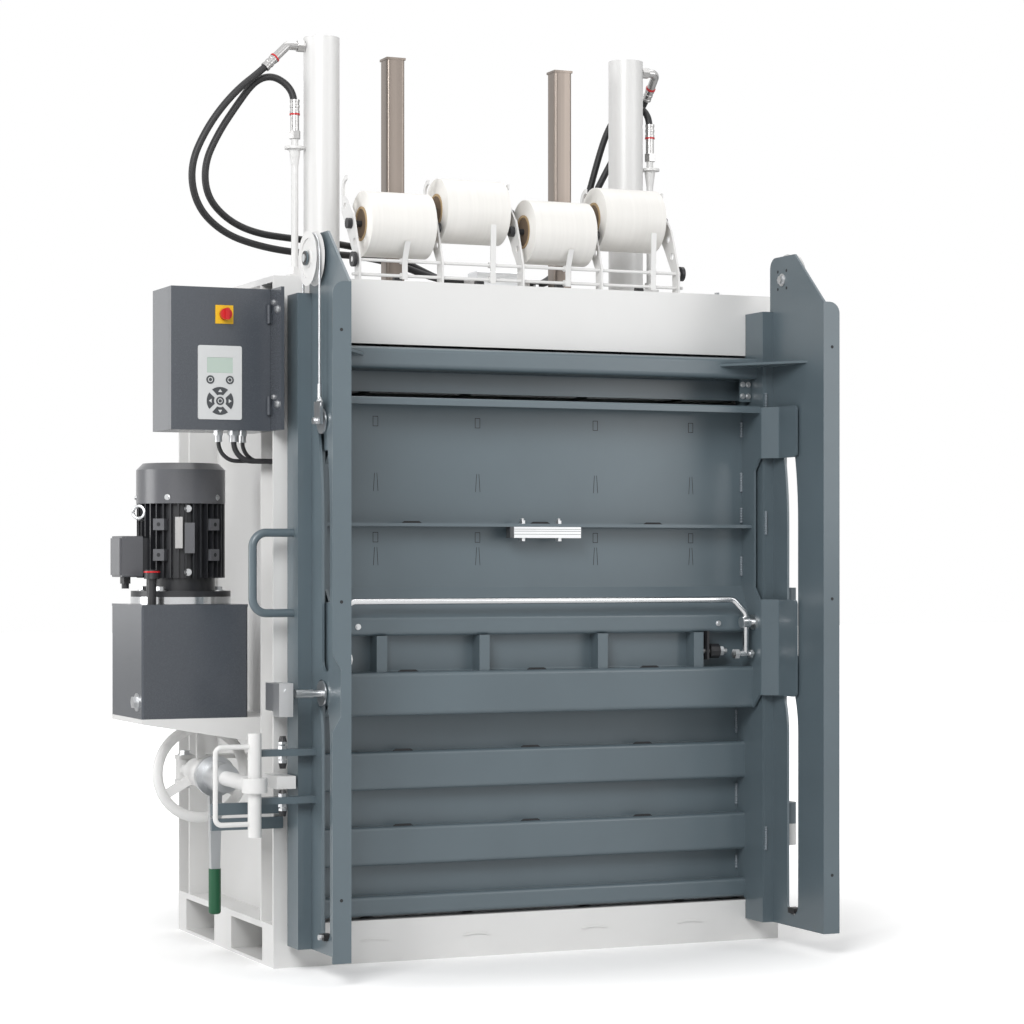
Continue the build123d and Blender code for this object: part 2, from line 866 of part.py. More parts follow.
# Control cabinet: open box with its mounting plate, hinged door, control panel and main switch
cabinet_rear = front + cabinet_d
cabinet_top = cabinet_z + cabinet_h
lid_x = cabinet_x1 - cabinet_hinge_r - cabinet_hinge_gap
lid_y = front - cabinet_hinge_r - cabinet_hinge_gap
leaf_half = cabinet_hinge_leaf / 2
cabinet_hinge_zs = [cabinet_z + cabinet_hinge_inset, cabinet_top - cabinet_hinge_inset]
with BuildPart() as cabinet_box:
    slab(cabinet_x0, cabinet_x1, front + cabinet_door_d, cabinet_rear, cabinet_z, cabinet_top)
    mouth = cabinet_box.faces().sort_by(Axis.Y)[0]
    offset(amount=-cabinet_wall, openings=mouth)
    slab(cabinet_x1, -column_out, front - cabinet_mount_reach, cabinet_rear, cabinet_z, cabinet_top)
    for z in cabinet_hinge_zs:
        slab(lid_x, cabinet_x1, lid_y - leaf_half, lid_y + leaf_half, z - cabinet_knuckle, z)
        rod_z(lid_x, lid_y, z - cabinet_knuckle, z, cabinet_hinge_r)
        rod_z(lid_x, lid_y, z, z + cabinet_knuckle - overrun, cabinet_hinge_pin_r)
save(cabinet_box, "cabinet_box")

with BuildPart() as cabinet_door:
    slab(cabinet_x0, cabinet_x1 - fit, front, front + cabinet_door_d - cabinet_seam, cabinet_z, cabinet_top)
    back = cabinet_door.faces().sort_by(Axis.Y)[-1]
    offset(amount=-cabinet_wall, openings=back)
    for z in cabinet_hinge_zs:
        z0 = z + fit
        z1 = z + cabinet_knuckle
        slab(lid_x - leaf_half, lid_x + leaf_half, lid_y, front, z0, z1)
        rod_z(lid_x, lid_y, z0, z1, cabinet_hinge_r)
        rod_z(lid_x, lid_y, z0, z1, cabinet_hinge_pin_r + running_fit, Mode.SUBTRACT)
save(cabinet_door, "cabinet_door")

panel_x1 = cabinet_x1 - panel_inset
panel_z0 = cabinet_z + panel_rise
with BuildPart() as control_panel:
    with BuildSketch(Plane.XZ.offset(-front)):
        with Locations((panel_x1 - panel_w / 2, panel_z0 + panel_h / 2)):
            RectangleRounded(panel_w, panel_h, panel_corner)
    extrude(amount=panel_t)
    with BuildSketch(Plane.XZ.offset(-front + panel_t)):
        with Locations((panel_x1 - panel_w / 2, panel_z0 + display_rise + display_h / 2)):
            Rectangle(display_w, display_h)
    extrude(amount=-display_depth, mode=Mode.SUBTRACT)
save(control_panel, "control_panel")

knob_x = cabinet_x1 - knob_inset
knob_z = cabinet_z + knob_rise
with BuildPart() as switch_knob:
    rod_y(knob_x, front, front - knob_shaft_l, knob_z, knob_shaft_r)
    rod_y(knob_x, front - knob_shaft_l, front - knob_shaft_l - knob_l, knob_z, knob_r)
    grip_y = front - knob_shaft_l - knob_l
    for side in (-1, 1):
        slab(knob_x + side * knob_grip_w / 2, knob_x + side * knob_r, grip_y, grip_y + knob_grip_l,
             knob_z - knob_r, knob_z + knob_r, Mode.SUBTRACT)
save(switch_knob, "switch_knob")

# Press platen with its beams, the pads with strap grooves, guide tubes and piston rods
platen_half = wall_in - platen_side_gap
platen_y0 = front + platen_front_gap
platen_y1 = rear_wall_y - platen_rear_gap
plate_z = platen_bottom + platen_pad_t
beam_z = plate_z + platen_plate_t
with BuildPart() as press_platen:
    slab(-platen_half, platen_half, platen_y0, platen_y1, plate_z, beam_z)
    beam_y0 = cyl_y - platen_beam_w / 2
    channel = [
        (beam_y0, beam_z),
        (beam_y0, platen_top),
        (beam_y0 + platen_beam_w, platen_top),
        (beam_y0 + platen_beam_w, beam_z),
    ]
    beam = folded(Plane.YZ, channel, platen_beam_wall + rib_t, platen_beam_wall, Side.RIGHT)
    extrude(beam, amount=platen_half, both=True)
save(press_platen, "press_platen")

with BuildPart() as platen_pads:
    for x0, x1 in strip_pairs:
        slab(max(x0, -platen_half), min(x1, platen_half), platen_y0, platen_y1, platen_bottom, plate_z)
save(platen_pads, "platen_pads")

with BuildPart() as guide_tubes:
    with BuildSketch(Plane.XY.offset(platen_top)):
        with Locations(*guide_places):
            RectangleRounded(guide_w, guide_w, guide_corner)
            guide_bore_w = guide_w - 2 * guide_wall
            RectangleRounded(guide_bore_w, guide_bore_w, guide_corner - guide_wall, mode=Mode.SUBTRACT)
    extrude(amount=guide_top - platen_top)
    with BuildSketch(Plane.XY.offset(guide_top)):
        with Locations(*guide_places):
            Rectangle(guide_cap_w, guide_cap_w)
    extrude(amount=guide_cap_t)
save(guide_tubes, "guide_tubes")

piston_top = cylinder_top - cylinder_cap_t - piston_head_gap
with BuildPart() as piston_rods:
    for side in (-1, 1):
        rod_z(side * cylinder_x, cyl_y, platen_top, piston_top - piston_t, rod_r)
        rod_z(side * cylinder_x, cyl_y, piston_top - piston_t, piston_top, cylinder_bore_r - running_fit)
save(piston_rods, "piston_rods")

# Lower door panel: a skin inside the chamber mouth with folded ribs on its front
skin_back = front + door_plug
skin_front = skin_back - skin_t
skin_foot = base_h + door_floor_gap
with BuildPart() as door_panel:
    slab(-stile_x, stile_x, skin_front, skin_back, skin_foot, sill_base + sill_h)
    ribs = [(rib_upper_base, rib_h), (rib_lower_base, rib_h)]
    ribs += [(sill_base, sill_h), (foot_rib_base, foot_rib_h)]
    for z, height in ribs:
        hat = [(skin_front, z), (rib_front, z), (rib_front, z + height), (skin_front, z + height)]
        extrude(folded(Plane.YZ, hat, rib_radius, rib_t, Side.RIGHT), amount=stile_x, both=True)
save(door_panel, "door_panel")

# Stiles at both edges of the door, stepped to clear the base and the header
stile_outline = [
    (front - stile_front, stile_foot),
    (front - door_gap, stile_foot),
    (front - door_gap, skin_foot),
    (skin_back, skin_foot),
    (skin_back, stile_step),
    (front - door_gap, stile_step),
    (front - door_gap, stile_top),
    (front - stile_front, stile_top),
]
with BuildPart() as door_stiles:
    with BuildSketch(Plane.YZ.offset(stile_x), Plane.YZ.offset(-stile_x - stile_t)):
        with BuildLine():
            Polyline(*stile_outline, close=True)
        make_face()
    extrude(amount=stile_t)
save(door_stiles, "door_stiles")

# Top rail, one folded sheet, with a gusset to each post
rail_back = front - door_gap
rail_path = [
    (front + top_rail_inner, top_rail_base - top_rail_drop),
    (front + top_rail_inner, top_rail_base),
    (front - top_rail_front, top_rail_base),
    (front - top_rail_front, top_rail_top),
    (rail_back, top_rail_top),
]
gusset_corner = stile_x - gusset_span
with BuildPart() as door_top_rail:
    extrude(folded(Plane.YZ, rail_path, sheet_radius, top_rail_t), amount=stile_x, both=True)
    rail_face = front - top_rail_front - top_rail_t
    for side in (-1, 1):
        with BuildSketch(Plane.XY.offset(gusset_z)):
            with BuildLine():
                Polyline(
                    (side * gusset_corner, rail_face),
                    (side * stile_x, rail_face),
                    (side * stile_x, front - box_front),
                    (side * post_x, front - box_front),
                    (side * post_x, front - gusset_reach),
                    close=True,
                )
            make_face()
        extrude(amount=gusset_t)
save(door_top_rail, "door_top_rail")

# Counterweight boxes behind the posts
box_in = stile_x + stile_t
box_y0 = front - box_front
box_y1 = front - box_back
with BuildPart() as weight_boxes:
    for side in (-1, 1):
        slab(side * box_in, side * box_x1, box_y0, box_y1, stile_foot, stile_top)
        slab(side * (box_in + box_wall), side * (box_x1 - box_wall), box_y0 + box_wall, box_y1 - box_wall,
             stile_foot + box_wall, stile_top, Mode.SUBTRACT)
save(weight_boxes, "weight_boxes")

# Posts: folded plates with an ear for the pulley and two curved slots for the guide pins
post_edge = front - post_front
post_outline = [
    (front - box_front, post_foot),
    (post_edge, post_foot),
    (post_edge, post_top),
    (front - ear_apex, ear_top),
    (front - ear_back, ear_top),
    (front - ear_back, stile_top),
    (front - box_front, stile_top),
]
flange_out = post_x + post_flange
notch_outline = [
    (-flange_out, notch_foot),
    (-flange_out + notch_d, notch_foot + notch_bevel),
    (-flange_out + notch_d, notch_foot + notch_h - notch_bevel),
    (-flange_out, notch_foot + notch_h),
]
slot_runs = [
    (slot_lower_foot, slot_lower_bend, slot_lower_top),
    (slot_upper_foot, slot_upper_bend, slot_upper_top),
]
for side, name in ((-1, "post_left"), (1, "post_right")):
    with BuildPart() as post:
        with BuildSketch(Plane.YZ.offset(post_x if side > 0 else -post_face)):
            with BuildLine():
                Polyline(*post_outline, close=True)
            make_face()
            fillet(vertices().group_by(Axis.Y)[-1].sort_by(Axis.X)[-1:], radius=ear_corner)
            for foot, bend, top in slot_runs:
                with BuildLine() as slot_path:
                    straight = Line((front - slot_line, foot), (front - slot_line, bend))
                    TangentArc(straight @ 1, (front - slot_back, top), tangent=straight % 1)
                trace(slot_path.line, slot_w, mode=Mode.SUBTRACT)
                with Locations((front - slot_line, foot), (front - slot_back, top)):
                    Circle(slot_w / 2, mode=Mode.SUBTRACT)
        extrude(amount=post_t)
        with BuildSketch(Plane.XZ.offset(-post_edge)):
            with Locations((side * (post_x + post_flange / 2), (post_foot + post_top) / 2)):
                Rectangle(post_flange, post_top - post_foot)
            fillet(vertices().group_by(Axis.Y)[-1].sort_by(Axis.X)[0 if side < 0 else -1], radius=ear_corner)
            if side < 0:
                with BuildLine():
                    Polyline(*notch_outline, close=True)
                make_face(mode=Mode.SUBTRACT)
        extrude(amount=-post_t)
        axle_end = post_face + pulley_gap + pulley_w + pulley_gap / 2
        rod_x(side * post_face, side * axle_end, front - pulley_y, pulley_z, pulley_axle_r)
        rod_x(side * axle_end, side * (axle_end + pulley_head_t), front - pulley_y, pulley_z, pulley_head_r)
        if side < 0:
            claw_y = front - box_front
            for z in (claw_lower_z, claw_upper_z):
                slab(-post_face, -claw_end, claw_y - claw_d, claw_y, z - claw_t / 2, z + claw_t / 2)
                rod_z(-claw_bolt_x, claw_y - claw_d / 2, z - claw_bolt_down, z + claw_bolt_up, claw_bolt_r)
    save(post, name)

# D-handle on the left box
with BuildPart() as door_handle:
    grip_y = front - handle_y
    grip_out = box_x1 + handle_reach
    with BuildLine() as bow:
        FilletPolyline(
            (-box_x1, grip_y, handle_z1),
            (-grip_out, grip_y, handle_z1),
            (-grip_out, grip_y, handle_z0),
            (-box_x1, grip_y, handle_z0),
            radius=handle_bend,
        )
    with BuildSketch(Plane(bow.line @ 0, z_dir=bow.line % 0)):
        Circle(handle_r)
    sweep(path=bow.line)
save(door_handle, "door_handle")

# Lift-off hinges: pins on the frame, knuckles on the door
pin_y = front - hinge_y
hinge_zs = [hinge_low_z, hinge_mid_z, hinge_high_z]
with BuildPart() as hinge_brackets:
    for z in hinge_zs:
        slab(hinge_x - hinge_r, column_out, pin_y, front, z - hinge_knuckle, z)
        rod_z(hinge_x, pin_y, z - hinge_knuckle, z, hinge_r)
        rod_z(hinge_x, pin_y, z, z + hinge_knuckle - overrun, hinge_pin_r)
save(hinge_brackets, "hinge_brackets")

with BuildPart() as door_hinges:
    for z in hinge_zs:
        z0 = z + fit
        z1 = z + hinge_knuckle
        slab(box_x1, hinge_x, pin_y - hinge_leaf_t, pin_y, z0, z1)
        rod_z(hinge_x, pin_y, z0, z1, hinge_r)
        rod_z(hinge_x, pin_y, z0, z1, hinge_pin_r + running_fit, Mode.SUBTRACT)
save(door_hinges, "door_hinges")

# Rope pulleys on the posts
rim_in = pulley_groove_r - pulley_rim_t
web_half = pulley_w / 2 - pulley_recess
with BuildPart() as rope_pulleys:
    for side in (-1, 1):
        x = side * pulley_mid
        half_profile = [
            (pulley_w / 2, pulley_axle_r + running_fit),
            (pulley_w / 2, pulley_hub_r),
            (web_half, pulley_hub_r),
            (web_half, rim_in),
            (pulley_w / 2, rim_in),
            (pulley_w / 2, pulley_r),
            (pulley_groove_w / 2, pulley_groove_r),
        ]
        profile = half_profile + [(-u, r) for u, r in reversed(half_profile)]
        with BuildSketch(Plane.XZ.offset(pulley_y - front)):
            with BuildLine():
                Polyline(*[(x + u, pulley_z + r) for u, r in profile], close=True)
            make_face()
        revolve(axis=Axis((x, front - pulley_y, pulley_z), (1, 0, 0)))
save(rope_pulleys, "rope_pulleys")

# Front runs of the ropes, from the flap up to the pulleys
rope_y = front - pulley_y - pulley_groove_r - fit - rope_r
lug_z0 = guide_pin_high_z - rope_lug_drop
lug_z1 = lug_z0 + rope_lug_h
with BuildPart() as rope_front:
    for side in (-1, 1):
        rod_z(side * pulley_mid, rope_y, lug_z1, pulley_z, rope_r)
save(rope_front, "rope_front")

# Counterweights inside the boxes
inset = box_wall + fit
with BuildPart() as counterweights:
    for side in (-1, 1):
        slab(side * (box_in + inset), side * (box_x1 - inset), box_y0 + inset, box_y1 - inset,
             weight_z, weight_z + weight_l)
save(counterweights, "counterweights")

# Flap panel: one folded sheet with rail, strap recess, beam, slope and shelf, plus ledge and fingers
sheet_path = [
    (flap_rear, flap_rail_base),
    (front - flap_rail_front, flap_rail_base),
    (front - flap_rail_front, flap_rail_top),
    (flap_rear, flap_rail_top),
    (flap_rear, flap_beam_base),
    (front - flap_beam_front, flap_beam_base),
    (front - flap_beam_front, flap_beam_top),
    (flap_rear, flap_slope_top),
    (flap_rear, flap_shelf_z),
    (front - flap_shelf_front, flap_shelf_z),
    (front - flap_shelf_front, flap_shelf_z - flap_lip),
]
finger_foot = flap_rail_top + flap_t
finger_top = flap_beam_base - flap_t
with BuildPart() as flap_panel:
    extrude(folded(Plane.YZ, sheet_path, flap_bend, flap_t), amount=flap_half, both=True)
    slab(-flap_half, flap_half, flap_face - ledge_d, flap_face, ledge_z, ledge_z + ledge_t)
    for x in strap_xs:
        slab(x - finger_w / 2, x + finger_w / 2, front - finger_front, flap_face, finger_foot, finger_top)
save(flap_panel, "flap_panel")

# Flap ends: plates with two arms each, jogged outwards to reach the slots in the posts
end_outline = [
    (flap_rear, flap_rail_base - flap_t),
    (front - flap_rail_front - flap_t, flap_rail_base - flap_t),
    (front - end_front, arm_low_z0),
    (front - end_front, arm_low_z1),
    (flap_rear - end_strip, arm_low_z1 + arm_jog),
    (flap_rear - end_strip, arm_high_z0 - arm_jog),
    (front - end_front, arm_high_z0),
    (front - end_front, flap_shelf_z),
    (flap_rear, flap_shelf_z),
]
arm_path = [
    (flap_half, front - end_strip),
    (flap_half, front - arm_jog_start),
    (flap_half + arm_jog, front - arm_jog_end),
    (flap_half + arm_jog, front - arm_front),
]
with BuildPart() as flap_ends:
    with BuildSketch(Plane.YZ.offset(flap_half), Plane.YZ.offset(-flap_half - end_t)):
        with BuildLine():
            Polyline(*end_outline, close=True)
        make_face()
    extrude(amount=end_t)
    for side, gauge_side in ((-1, Side.RIGHT), (1, Side.LEFT)):
        path = [(side * x, y) for x, y in arm_path]
        for z0, z1 in ((arm_low_z0, arm_low_z1), (arm_high_z0, arm_high_z1)):
            extrude(folded(Plane.XY.offset(z0), path, sheet_radius, end_t, gauge_side), amount=z1 - z0)
    fillet(flap_ends.edges().filter_by(Axis.X).group_by(Axis.Y)[0], radius=arm_corner)
save(flap_ends, "flap_ends")

# Guide pins with discs, rope lugs, a stub for the interlock and the bolts of the bail handle
slide_y = front - guide_pin_y
bail_x = flap_half - bail_gap - bail_eye_w / 2
bolt_in = bail_x - bail_eye_w / 2 - fit
with BuildPart() as flap_pins:
    for side in (-1, 1):
        for z in (guide_pin_low_z, guide_pin_high_z):
            disc = post_face + guide_disc_gap
            rod_x(side * arm_out, side * guide_pin_end, slide_y, z, guide_pin_r)
            rod_x(side * disc, side * (disc + guide_disc_t), slide_y, z, guide_disc_r)
        lug_half = rope_lug_t / 2
        slab(side * (pulley_mid - lug_half), side * (pulley_mid + lug_half),
             slide_y + rope_lug_drop - rope_lug_d, slide_y + rope_lug_drop, lug_z0, lug_z1)
        rod_x(side * flap_half, side * bolt_in, front - bail_y, bail_z, bail_bolt_r)
        head = bolt_in - bail_bolt_head_t
        rod_x(side * bolt_in, side * head, front - bail_y, bail_z, bail_bolt_head_r)
    stub_end = -switch_x1 - sensor_stub_gap
    rod_x(-guide_pin_end, -stub_end, slide_y, guide_pin_low_z, sensor_stub_r)
save(flap_pins, "flap_pins")

# Clamp bar under the ledge
with BuildPart() as clamp_bar:
    ledge_front = flap_face - ledge_d
    slab(-clamp_w / 2, clamp_w / 2, ledge_front, ledge_front + clamp_d, ledge_z - clamp_h, ledge_z)
save(clamp_bar, "clamp_bar")

# Bail handle: one bent round bar with an eye and a toe at each end
leg_foot = bail_z - bail_leg
bar_z = bail_z + bail_rise
bail_path = [(-bail_x, leg_foot), (-bail_x, bar_z - bail_slant), (-bail_x + bail_slant, bar_z)]
bail_path += [(-x, z) for x, z in reversed(bail_path)]
with BuildPart() as flap_handle:
    with BuildLine(Plane.XZ.offset(bail_y - front)) as bent:
        FilletPolyline(*bail_path, radius=bail_bend)
    with BuildSketch(Plane(bent.line @ 0, z_dir=bent.line % 0)):
        Circle(bail_bar_r)
    sweep(path=bent.line)
    for side in (-1, 1):
        eye_in = bail_x - bail_eye_w / 2
        eye_out = bail_x + bail_eye_w / 2
        rod_x(side * eye_in, side * eye_out, front - bail_y, bail_z, bail_eye_r)
        rod_x(side * eye_in, side * eye_out, front - bail_y, bail_z, bail_bolt_r + running_fit, Mode.SUBTRACT)
        rod_x(side * bail_x, side * (bail_x - bail_toe_l), front - bail_y, leg_foot, bail_bar_r)
save(flap_handle, "flap_handle")

# Lock anchor on the left wall, with the pin that the lock swings on
lock_py = front + lock_pivot_y
lock_by = front + lock_bar_y
eye_half = lock_eye_h / 2
with BuildPart() as lock_anchor:
    for side in (-1, 1):
        z0 = lock_z + side * (eye_half + fit)
        slab(lock_x - lock_eye_r, -wall_out, lock_py - anchor_d / 2, lock_py + anchor_d / 2,
             z0, z0 + side * anchor_t)
    fillet(lock_anchor.edges().filter_by(Axis.Z).group_by(Axis.X)[0], radius=lock_pin_r)
    rod_z(lock_x, lock_py, lock_z - eye_half - anchor_t, lock_z + eye_half + anchor_t, lock_pin_r)
save(lock_anchor, "lock_anchor")

# Lock arm: eye, spindle, collar, crossbar tube and loop handle
with BuildPart() as lock_arm:
    rod_z(lock_x, lock_py, lock_z - eye_half, lock_z + eye_half, lock_eye_r)
    rod_y(lock_x, lock_by, lock_py, lock_z, spindle_r)
    rod_z(lock_x, lock_py, lock_z - eye_half, lock_z + eye_half, lock_pin_r + running_fit, Mode.SUBTRACT)
    rod_z(lock_x, lock_by, lock_z - collar_h / 2, lock_z + collar_h / 2, collar_r)
    rod_z(lock_x, lock_by, lock_z - crossbar_half, lock_z + crossbar_half, crossbar_r)
    for side in (-1, 1):
        tube_end = lock_z + side * crossbar_half
        tube_bore = crossbar_r - crossbar_wall
        rod_z(lock_x, lock_by, tube_end, tube_end - side * crossbar_r, tube_bore, Mode.SUBTRACT)
    loop_x0 = lock_x - crossbar_r + crossbar_wall / 2
    loop_x1 = lock_x - loop_reach
    with BuildLine() as loop:
        FilletPolyline(
            (loop_x0, lock_by, lock_z + loop_half - crossbar_r),
            (loop_x1, lock_by, lock_z + loop_half - crossbar_r),
            (loop_x1, lock_by, lock_z - loop_half + crossbar_r),
            (loop_x0, lock_by, lock_z - loop_half + crossbar_r),
            radius=loop_bend,
        )
    with BuildSketch(Plane(loop.line @ 0, z_dir=loop.line % 0)):
        Circle(loop_r)
    sweep(path=loop.line)
save(lock_arm, "lock_arm")

# Handwheel with three spokes and a threaded hub
wheel_mid = front + wheel_y
with BuildPart() as handwheel:
    with Locations(Location((lock_x, wheel_mid, lock_z), (90, 0, 0))):
        Torus(wheel_r, wheel_rim_r)
    with BuildSketch(Plane.XZ.offset(-wheel_mid)):
        with Locations((lock_x, lock_z)):
            with PolarLocations(wheel_r / 2, wheel_spokes, start_angle=90):
                Rectangle(wheel_r, spoke_w)
    extrude(amount=spoke_t / 2, both=True)
    hub_y0 = front + sleeve_rear + hub_gap
    hub_y1 = front + hub_rear
    rod_y(lock_x, hub_y0, hub_y1, lock_z, hub_r)
    rod_y(lock_x, hub_y0, hub_y1, lock_z, spindle_r + running_fit, Mode.SUBTRACT)
save(handwheel, "handwheel")

# Ratchet lever with its sleeve on the spindle, and its grip
lever_mid = front + lever_y
lever_foot = lock_z - lever_l
lever_taper = degrees(atan2(2 * lever_l, lever_w - lever_tip_w))
with BuildPart() as ratchet_lever:
    ring_y0 = lever_mid - lever_t / 2
    ring_y1 = lever_mid + lever_t / 2
    sleeve_y0 = front + sleeve_front
    sleeve_y1 = front + sleeve_rear
    rod_y(lock_x, ring_y0, ring_y1, lock_z, lever_ring_r)
    rod_y(lock_x, sleeve_y0, sleeve_y1, lock_z, hub_r)
    with BuildSketch(Plane.XZ.offset(-ring_y1)):
        with Locations((lock_x, (lever_foot + lock_z) / 2)):
            Trapezoid(lever_w, lever_l, lever_taper, rotation=180)
    extrude(amount=lever_t)
    rod_y(lock_x, sleeve_y0, sleeve_y1, lock_z, spindle_r + running_fit, Mode.SUBTRACT)
save(ratchet_lever, "ratchet_lever")

with BuildPart() as lever_grip:
    rod_z(lock_x, lever_mid, lever_foot - grip_l, lever_foot, grip_r)
    fillet(lever_grip.edges().group_by(Axis.Z)[0], radius=grip_r / 2)
save(lever_grip, "lever_grip")

# Rest block and support bars for the lock, and the interlock switch, all on the left column
with BuildPart() as door_rest:
    slab(rest_x1 - rest_w, rest_x1, front - rest_front, front, lock_z - rest_h / 2, lock_z + rest_h / 2)
save(door_rest, "door_rest")

with BuildPart() as lock_support:
    for z in (support_low_z, support_high_z):
        slab(rest_x1 - support_w, rest_x1, front - support_t, front, z, z + support_h)
save(lock_support, "lock_support")

switch_mid = switch_z + switch_h / 2
with BuildPart() as interlock_switch:
    z0 = switch_mid - switch_plate_h / 2
    z1 = switch_mid + switch_plate_h / 2
    slab(switch_x1, rest_x1, front - switch_plate_t, front, z0, z1)
    slab(switch_x1, switch_x1 + switch_plate_t, slide_y + switch_d / 2 - switch_lap, front, z0, z1)
    slab(switch_x1 - switch_w, switch_x1, slide_y - switch_d / 2, slide_y + switch_d / 2,
         switch_z, switch_z + switch_h)
save(interlock_switch, "interlock_switch")
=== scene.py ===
"""Looks for the recycling baler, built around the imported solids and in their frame.

Sizes and places of the pieces are named in millimetres, and at() turns them into metres.
"""
import math

import bpy
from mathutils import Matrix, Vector


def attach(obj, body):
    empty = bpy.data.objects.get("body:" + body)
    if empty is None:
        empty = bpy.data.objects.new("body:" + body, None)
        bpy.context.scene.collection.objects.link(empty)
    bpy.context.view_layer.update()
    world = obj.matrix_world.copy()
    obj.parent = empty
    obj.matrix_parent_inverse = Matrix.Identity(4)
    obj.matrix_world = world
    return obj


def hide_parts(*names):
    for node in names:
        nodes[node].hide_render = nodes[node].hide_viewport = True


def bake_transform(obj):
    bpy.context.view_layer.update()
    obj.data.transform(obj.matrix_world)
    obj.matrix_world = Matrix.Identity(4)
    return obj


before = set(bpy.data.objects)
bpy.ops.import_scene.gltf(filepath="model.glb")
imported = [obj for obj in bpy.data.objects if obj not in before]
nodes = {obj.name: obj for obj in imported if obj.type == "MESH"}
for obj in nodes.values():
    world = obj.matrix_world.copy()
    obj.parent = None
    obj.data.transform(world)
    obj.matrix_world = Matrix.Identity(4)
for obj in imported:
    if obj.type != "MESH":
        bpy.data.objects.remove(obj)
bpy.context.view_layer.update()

# Sizes and places that several pieces share; Y is counted from the front plane of the base

MM = 1000
FRONT_PLANE = -393
SIDES = (-1, 1)
STRAP_XS = (-428, -160, 160, 428)
DECK_Z = 1655
PRESS_Y = 376
PIPE_X = 502
HOSE_R = 9
FLAP_FACE = -7
FLAP_HALF = 575
STRAIGHT_X = (1, 0, 0)
STRAIGHT_Y = (0, 1, 0)
UP = (0, 0, 1)
SIDE_PLANE = (STRAIGHT_Y, UP)
FRONT_VIEW = (STRAIGHT_X, UP)
FLOOR_PLANE = (STRAIGHT_X, STRAIGHT_Y)


def at(x, y, z):
    """A place in the frame."""
    return Vector((x / MM, (FRONT_PLANE + y) / MM, z / MM))


# Materials


def link(tree, a, out, b, inp):
    tree.links.new(a.outputs[out], b.inputs[inp])


def material(name, colour, rough, metal=0.0, coat=0.0, tint=0.06, rough_span=0.08, grain=60.0, bump=0.0,
             stretch=(1, 1, 1)):
    """A procedural surface: colour and gloss vary a little, and a fine grain lifts the surface."""
    m = bpy.data.materials.new(name)
    m.use_nodes = True
    tree = m.node_tree
    shader = tree.nodes["Principled BSDF"]
    shader.inputs["Metallic"].default_value = metal
    shader.inputs["Coat Weight"].default_value = coat
    shader.inputs["Coat Roughness"].default_value = 0.2
    place = tree.nodes.new("ShaderNodeTexCoord")
    scale = tree.nodes.new("ShaderNodeMapping")
    scale.inputs["Scale"].default_value = stretch
    link(tree, place, "Object", scale, "Vector")
    cloud = tree.nodes.new("ShaderNodeTexNoise")
    cloud.inputs["Scale"].default_value = 4.0
    cloud.inputs["Detail"].default_value = 6.0
    link(tree, scale, "Vector", cloud, "Vector")
    ramp = tree.nodes.new("ShaderNodeValToRGB")
    low, high = ramp.color_ramp.elements
    low.color = (*[c * (1 - tint) for c in colour], 1)
    low.position = 0.3
    high.color = (*[min(1.0, c * (1 + tint)) for c in colour], 1)
    high.position = 0.7
    link(tree, cloud, "Fac", ramp, "Fac")
    link(tree, ramp, "Color", shader, "Base Color")
    fine = tree.nodes.new("ShaderNodeTexNoise")
    fine.inputs["Scale"].default_value = grain
    fine.inputs["Detail"].default_value = 3.0
    link(tree, scale, "Vector", fine, "Vector")
    span = tree.nodes.new("ShaderNodeMapRange")
    span.inputs["To Min"].default_value = rough - rough_span
    span.inputs["To Max"].default_value = rough + rough_span
    link(tree, fine, "Fac", span, "Value")
    link(tree, span, "Result", shader, "Roughness")
    if bump:
        lift = tree.nodes.new("ShaderNodeBump")
        lift.inputs["Strength"].default_value = bump
        lift.inputs["Distance"].default_value = 0.0006
        link(tree, fine, "Fac", lift, "Height")
        link(tree, lift, "Normal", shader, "Normal")
    return m


grey = material("grey_paint", (0.096, 0.128, 0.147), 0.36, coat=0.3, grain=900, bump=0.12)
# The cabinet, its door and the oil tank take the grey paint made darker: painted shade.
dark = material("dark_paint", (0.058, 0.066, 0.079), 0.26, coat=0.6, grain=900, bump=0.12)
# A lighter copy of the grey paint for the weld beads: painted sheen.
weld_sheen_paint = material("weld_sheen_paint", (0.17, 0.20, 0.225), 0.28, coat=0.3, grain=300, bump=0.2)
white = material("white_paint", (0.71, 0.708, 0.70), 0.36, coat=0.2, tint=0.02, grain=900, bump=0.08)
deck_steel = material("deck_steel", (0.32, 0.33, 0.34), 0.45, metal=0.9, tint=0.15, grain=240, bump=0.15)
# Strong tone streaks run up the guide tubes: partly worn steel, partly painted highlight and shade across the
# faces.
guide_steel = material("guide_steel", (0.24, 0.205, 0.18), 0.34, metal=0.85, tint=0.3, stretch=(7, 7, 0.05))
bright = material("bright_steel", (0.72, 0.73, 0.74), 0.2, metal=1.0, tint=0.04, grain=300)
zinc = material("zinc", (0.62, 0.63, 0.64), 0.32, metal=1.0, tint=0.08, grain=200)
fitting_steel = material("fitting_steel", (0.47, 0.465, 0.46), 0.3, metal=1.0, tint=0.08, grain=200)
aluminium = material("aluminium", (0.70, 0.71, 0.72), 0.36, metal=1.0, tint=0.03, grain=400,
                     stretch=(0.1, 1, 1))
rubber = material("hose_rubber", (0.012, 0.012, 0.013), 0.5, tint=0.2, grain=700, bump=0.2)
black = material("black_plastic", (0.018, 0.018, 0.02), 0.42, tint=0.1, grain=800, bump=0.1)
motor = material("motor_paint", (0.017, 0.018, 0.021), 0.36, coat=0.1, grain=500, bump=0.15)
cowl = material("cowl_paint", (0.095, 0.097, 0.106), 0.3, coat=0.3, grain=600, bump=0.1)
strap = material("strap_roll", (0.79, 0.775, 0.745), 0.45, tint=0.02, grain=220, bump=0.35,
                 stretch=(40, 1, 1))
card = material("card_core", (0.42, 0.30, 0.17), 0.8, tint=0.12, grain=300, bump=0.3)
